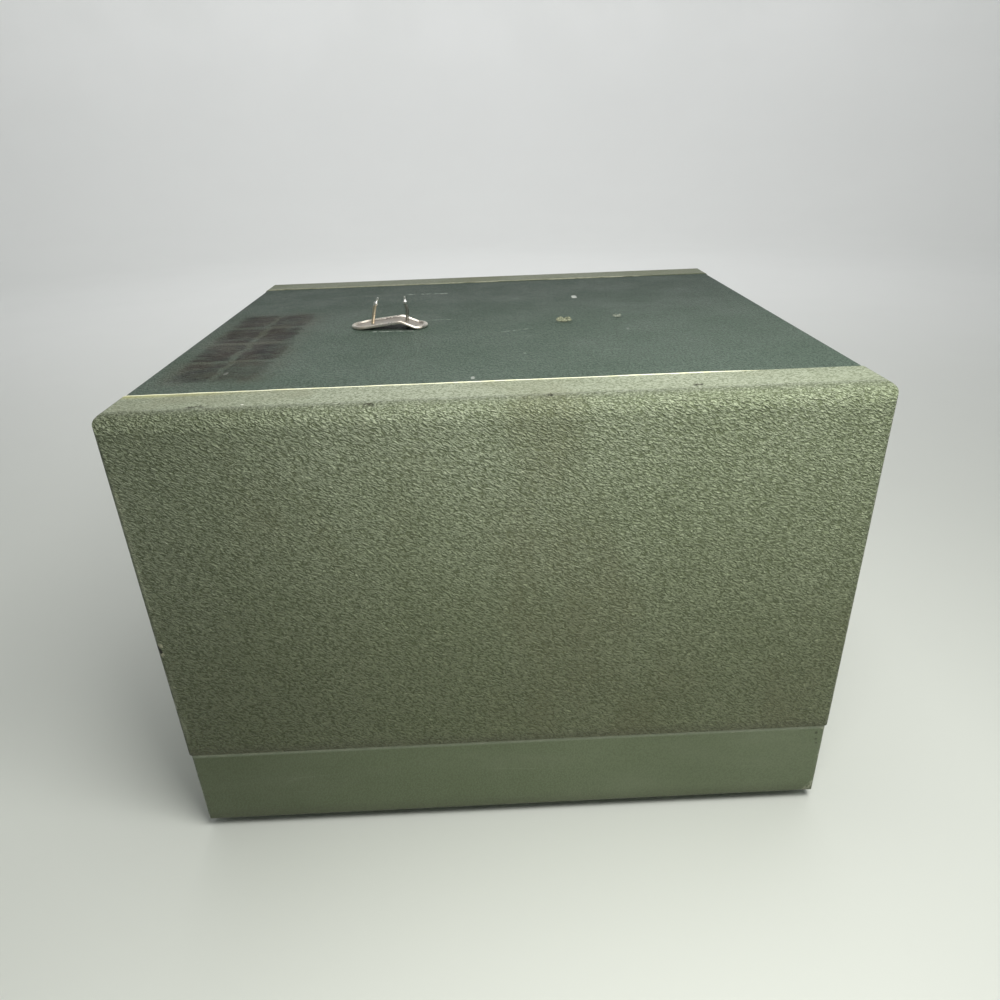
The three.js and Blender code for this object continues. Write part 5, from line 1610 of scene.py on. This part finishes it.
@dataclass(frozen=True)
class PhotoCamera:
    """The camera solved from the case's corners in the photograph."""

    place: Triple = (-0.004585, -0.4108, 0.31125)
    pitch_down: float = 26.314
    yaw: float = 0.849
    roll: float = -2.110
    sensor: float = 36.0
    focal: float = 26.398
    nearest: float = 0.01

    def build(self) -> None:
        """Makes the camera and gives it to the scene."""
        pitch, yaw, roll = (math.radians(angle) for angle in (self.pitch_down, self.yaw, self.roll))
        level = Vector((math.sin(yaw), math.cos(yaw), 0))
        right = Vector((math.cos(yaw), -math.sin(yaw), 0))
        ahead = level * math.cos(pitch) - Vector((0, 0, 1)) * math.sin(pitch)
        up = level * math.sin(pitch) + Vector((0, 0, 1)) * math.cos(pitch)
        side = right * math.cos(roll) + up * math.sin(roll)
        top = up * math.cos(roll) - right * math.sin(roll)
        data = bpy.data.cameras.new("photo camera")
        data.sensor_width = self.sensor
        data.lens = self.focal
        data.clip_start = self.nearest
        camera = add_object("photo camera", data)
        turn = Matrix((side, top, -ahead)).transposed().to_4x4()
        camera.matrix_world = Matrix.Translation(Vector(self.place)) @ turn
        bpy.context.scene.camera = camera


@dataclass(frozen=True)
class SoftLamp:
    """A soft rectangular lamp, from where it hangs to its power in watts."""

    name: str
    place: Triple
    target: Triple
    size: Pair
    power: float
    color: Color = (1.0, 0.99, 0.95)

    def build(self) -> None:
        """Adds the lamp, turned to its target."""
        data = bpy.data.lights.new(self.name, "AREA")
        data.shape = "RECTANGLE"
        data.size, data.size_y = self.size
        data.energy = self.power
        data.color = self.color
        lamp = add_object(self.name, data)
        lamp.location = self.place
        lamp.visible_camera = False
        run = Vector(self.target) - Vector(self.place)
        lamp.rotation_euler = run.to_track_quat("-Z", "Y").to_euler()


@dataclass
class Studio:
    """A pale round sweep for floor and background, and large soft lamps."""

    flat_radius: float = 2.0
    flat_steps: int = 5
    sweep_radius: float = 0.9
    sweep_steps: int = 8
    wall_top: float = 2.6
    around: int = 96
    paper: Color = (0.755, 0.785, 0.735)
    paper_shade: float = 0.985
    room_color: Color = (0.90, 0.93, 1.0)
    room_strength: float = 0.12
    lamps: tuple[SoftLamp, ...] = (
        SoftLamp("front light", (0.14, -0.30, 0.50), (0.02, -0.1, 0.15), (0.28, 0.18), 2.1),
        SoftLamp("top light", (0.05, 0.1, 1.35), (0.0, -0.05, 0.1), (0.9, 0.6), 6.0),
        SoftLamp("wall light", (0.0, 0.9, 1.7), (0.0, 2.9, 0.5), (2.0, 0.4), 33.0, (1.02, 0.98, 1.06)),
    )

    def floor(self) -> None:
        """Builds the floor that the case stands on, swept up all round into a wall."""
        profile = [(self.flat_radius * i / self.flat_steps, 0.0) for i in range(1, self.flat_steps + 1)]
        for i in range(1, self.sweep_steps + 1):
            angle = math.pi / 2 * i / self.sweep_steps
            out, up = math.sin(angle) * self.sweep_radius, (1 - math.cos(angle)) * self.sweep_radius
            profile.append((self.flat_radius + out, up))
        profile.append((self.flat_radius + self.sweep_radius, self.wall_top))
        rings = [
            [Vector((radius * math.cos(angle), radius * math.sin(angle), z)) for angle in angles(self.around)]
            for radius, z in profile
        ]
        points, faces = tube(rings, Ends.OPEN)
        faces = [face[::-1] for face in faces]
        faces += [[len(points), j, (j + 1) % self.around] for j in range(self.around)]
        points.append(Vector())
        look = Look("floor paper", self.paper)
        cloud = look.cloud(3.0, 3.0, 0.3, 0.7)
        look.paint(tuple(part * self.paper_shade for part in self.paper), cloud)
        look.finish(look.graph.ramp(cloud, 0.0, 1.0, 0.55, 0.62))
        floor = add_mesh("floor", (points, faces), look.material)

    def build(self) -> None:
        """Builds the floor, the room light and the lamps."""
        self.floor()
        world = bpy.data.worlds.new("room")
        bpy.context.scene.world = world
        world.use_nodes = True
        background = world.node_tree.nodes["Background"]
        background.inputs["Color"].default_value = (*self.room_color, 1)
        background.inputs["Strength"].default_value = self.room_strength
        for lamp in self.lamps:
            lamp.build()
        bpy.context.scene.view_settings.view_transform = "Standard"


def main() -> None:
    """Builds every sub-assembly in order."""
    logging.basicConfig(level=logging.INFO, format="%(message)s")
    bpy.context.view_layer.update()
    PhotoCamera().build()
    for assembly in (Studio(), CaseBase(), CaseCover(), HandleRemains(), Latches(), LampEnd(), LensEnd()):
        LOG.info("building %s", type(assembly).__name__)
        assembly.build()


if __name__ == "__main__":
    main()
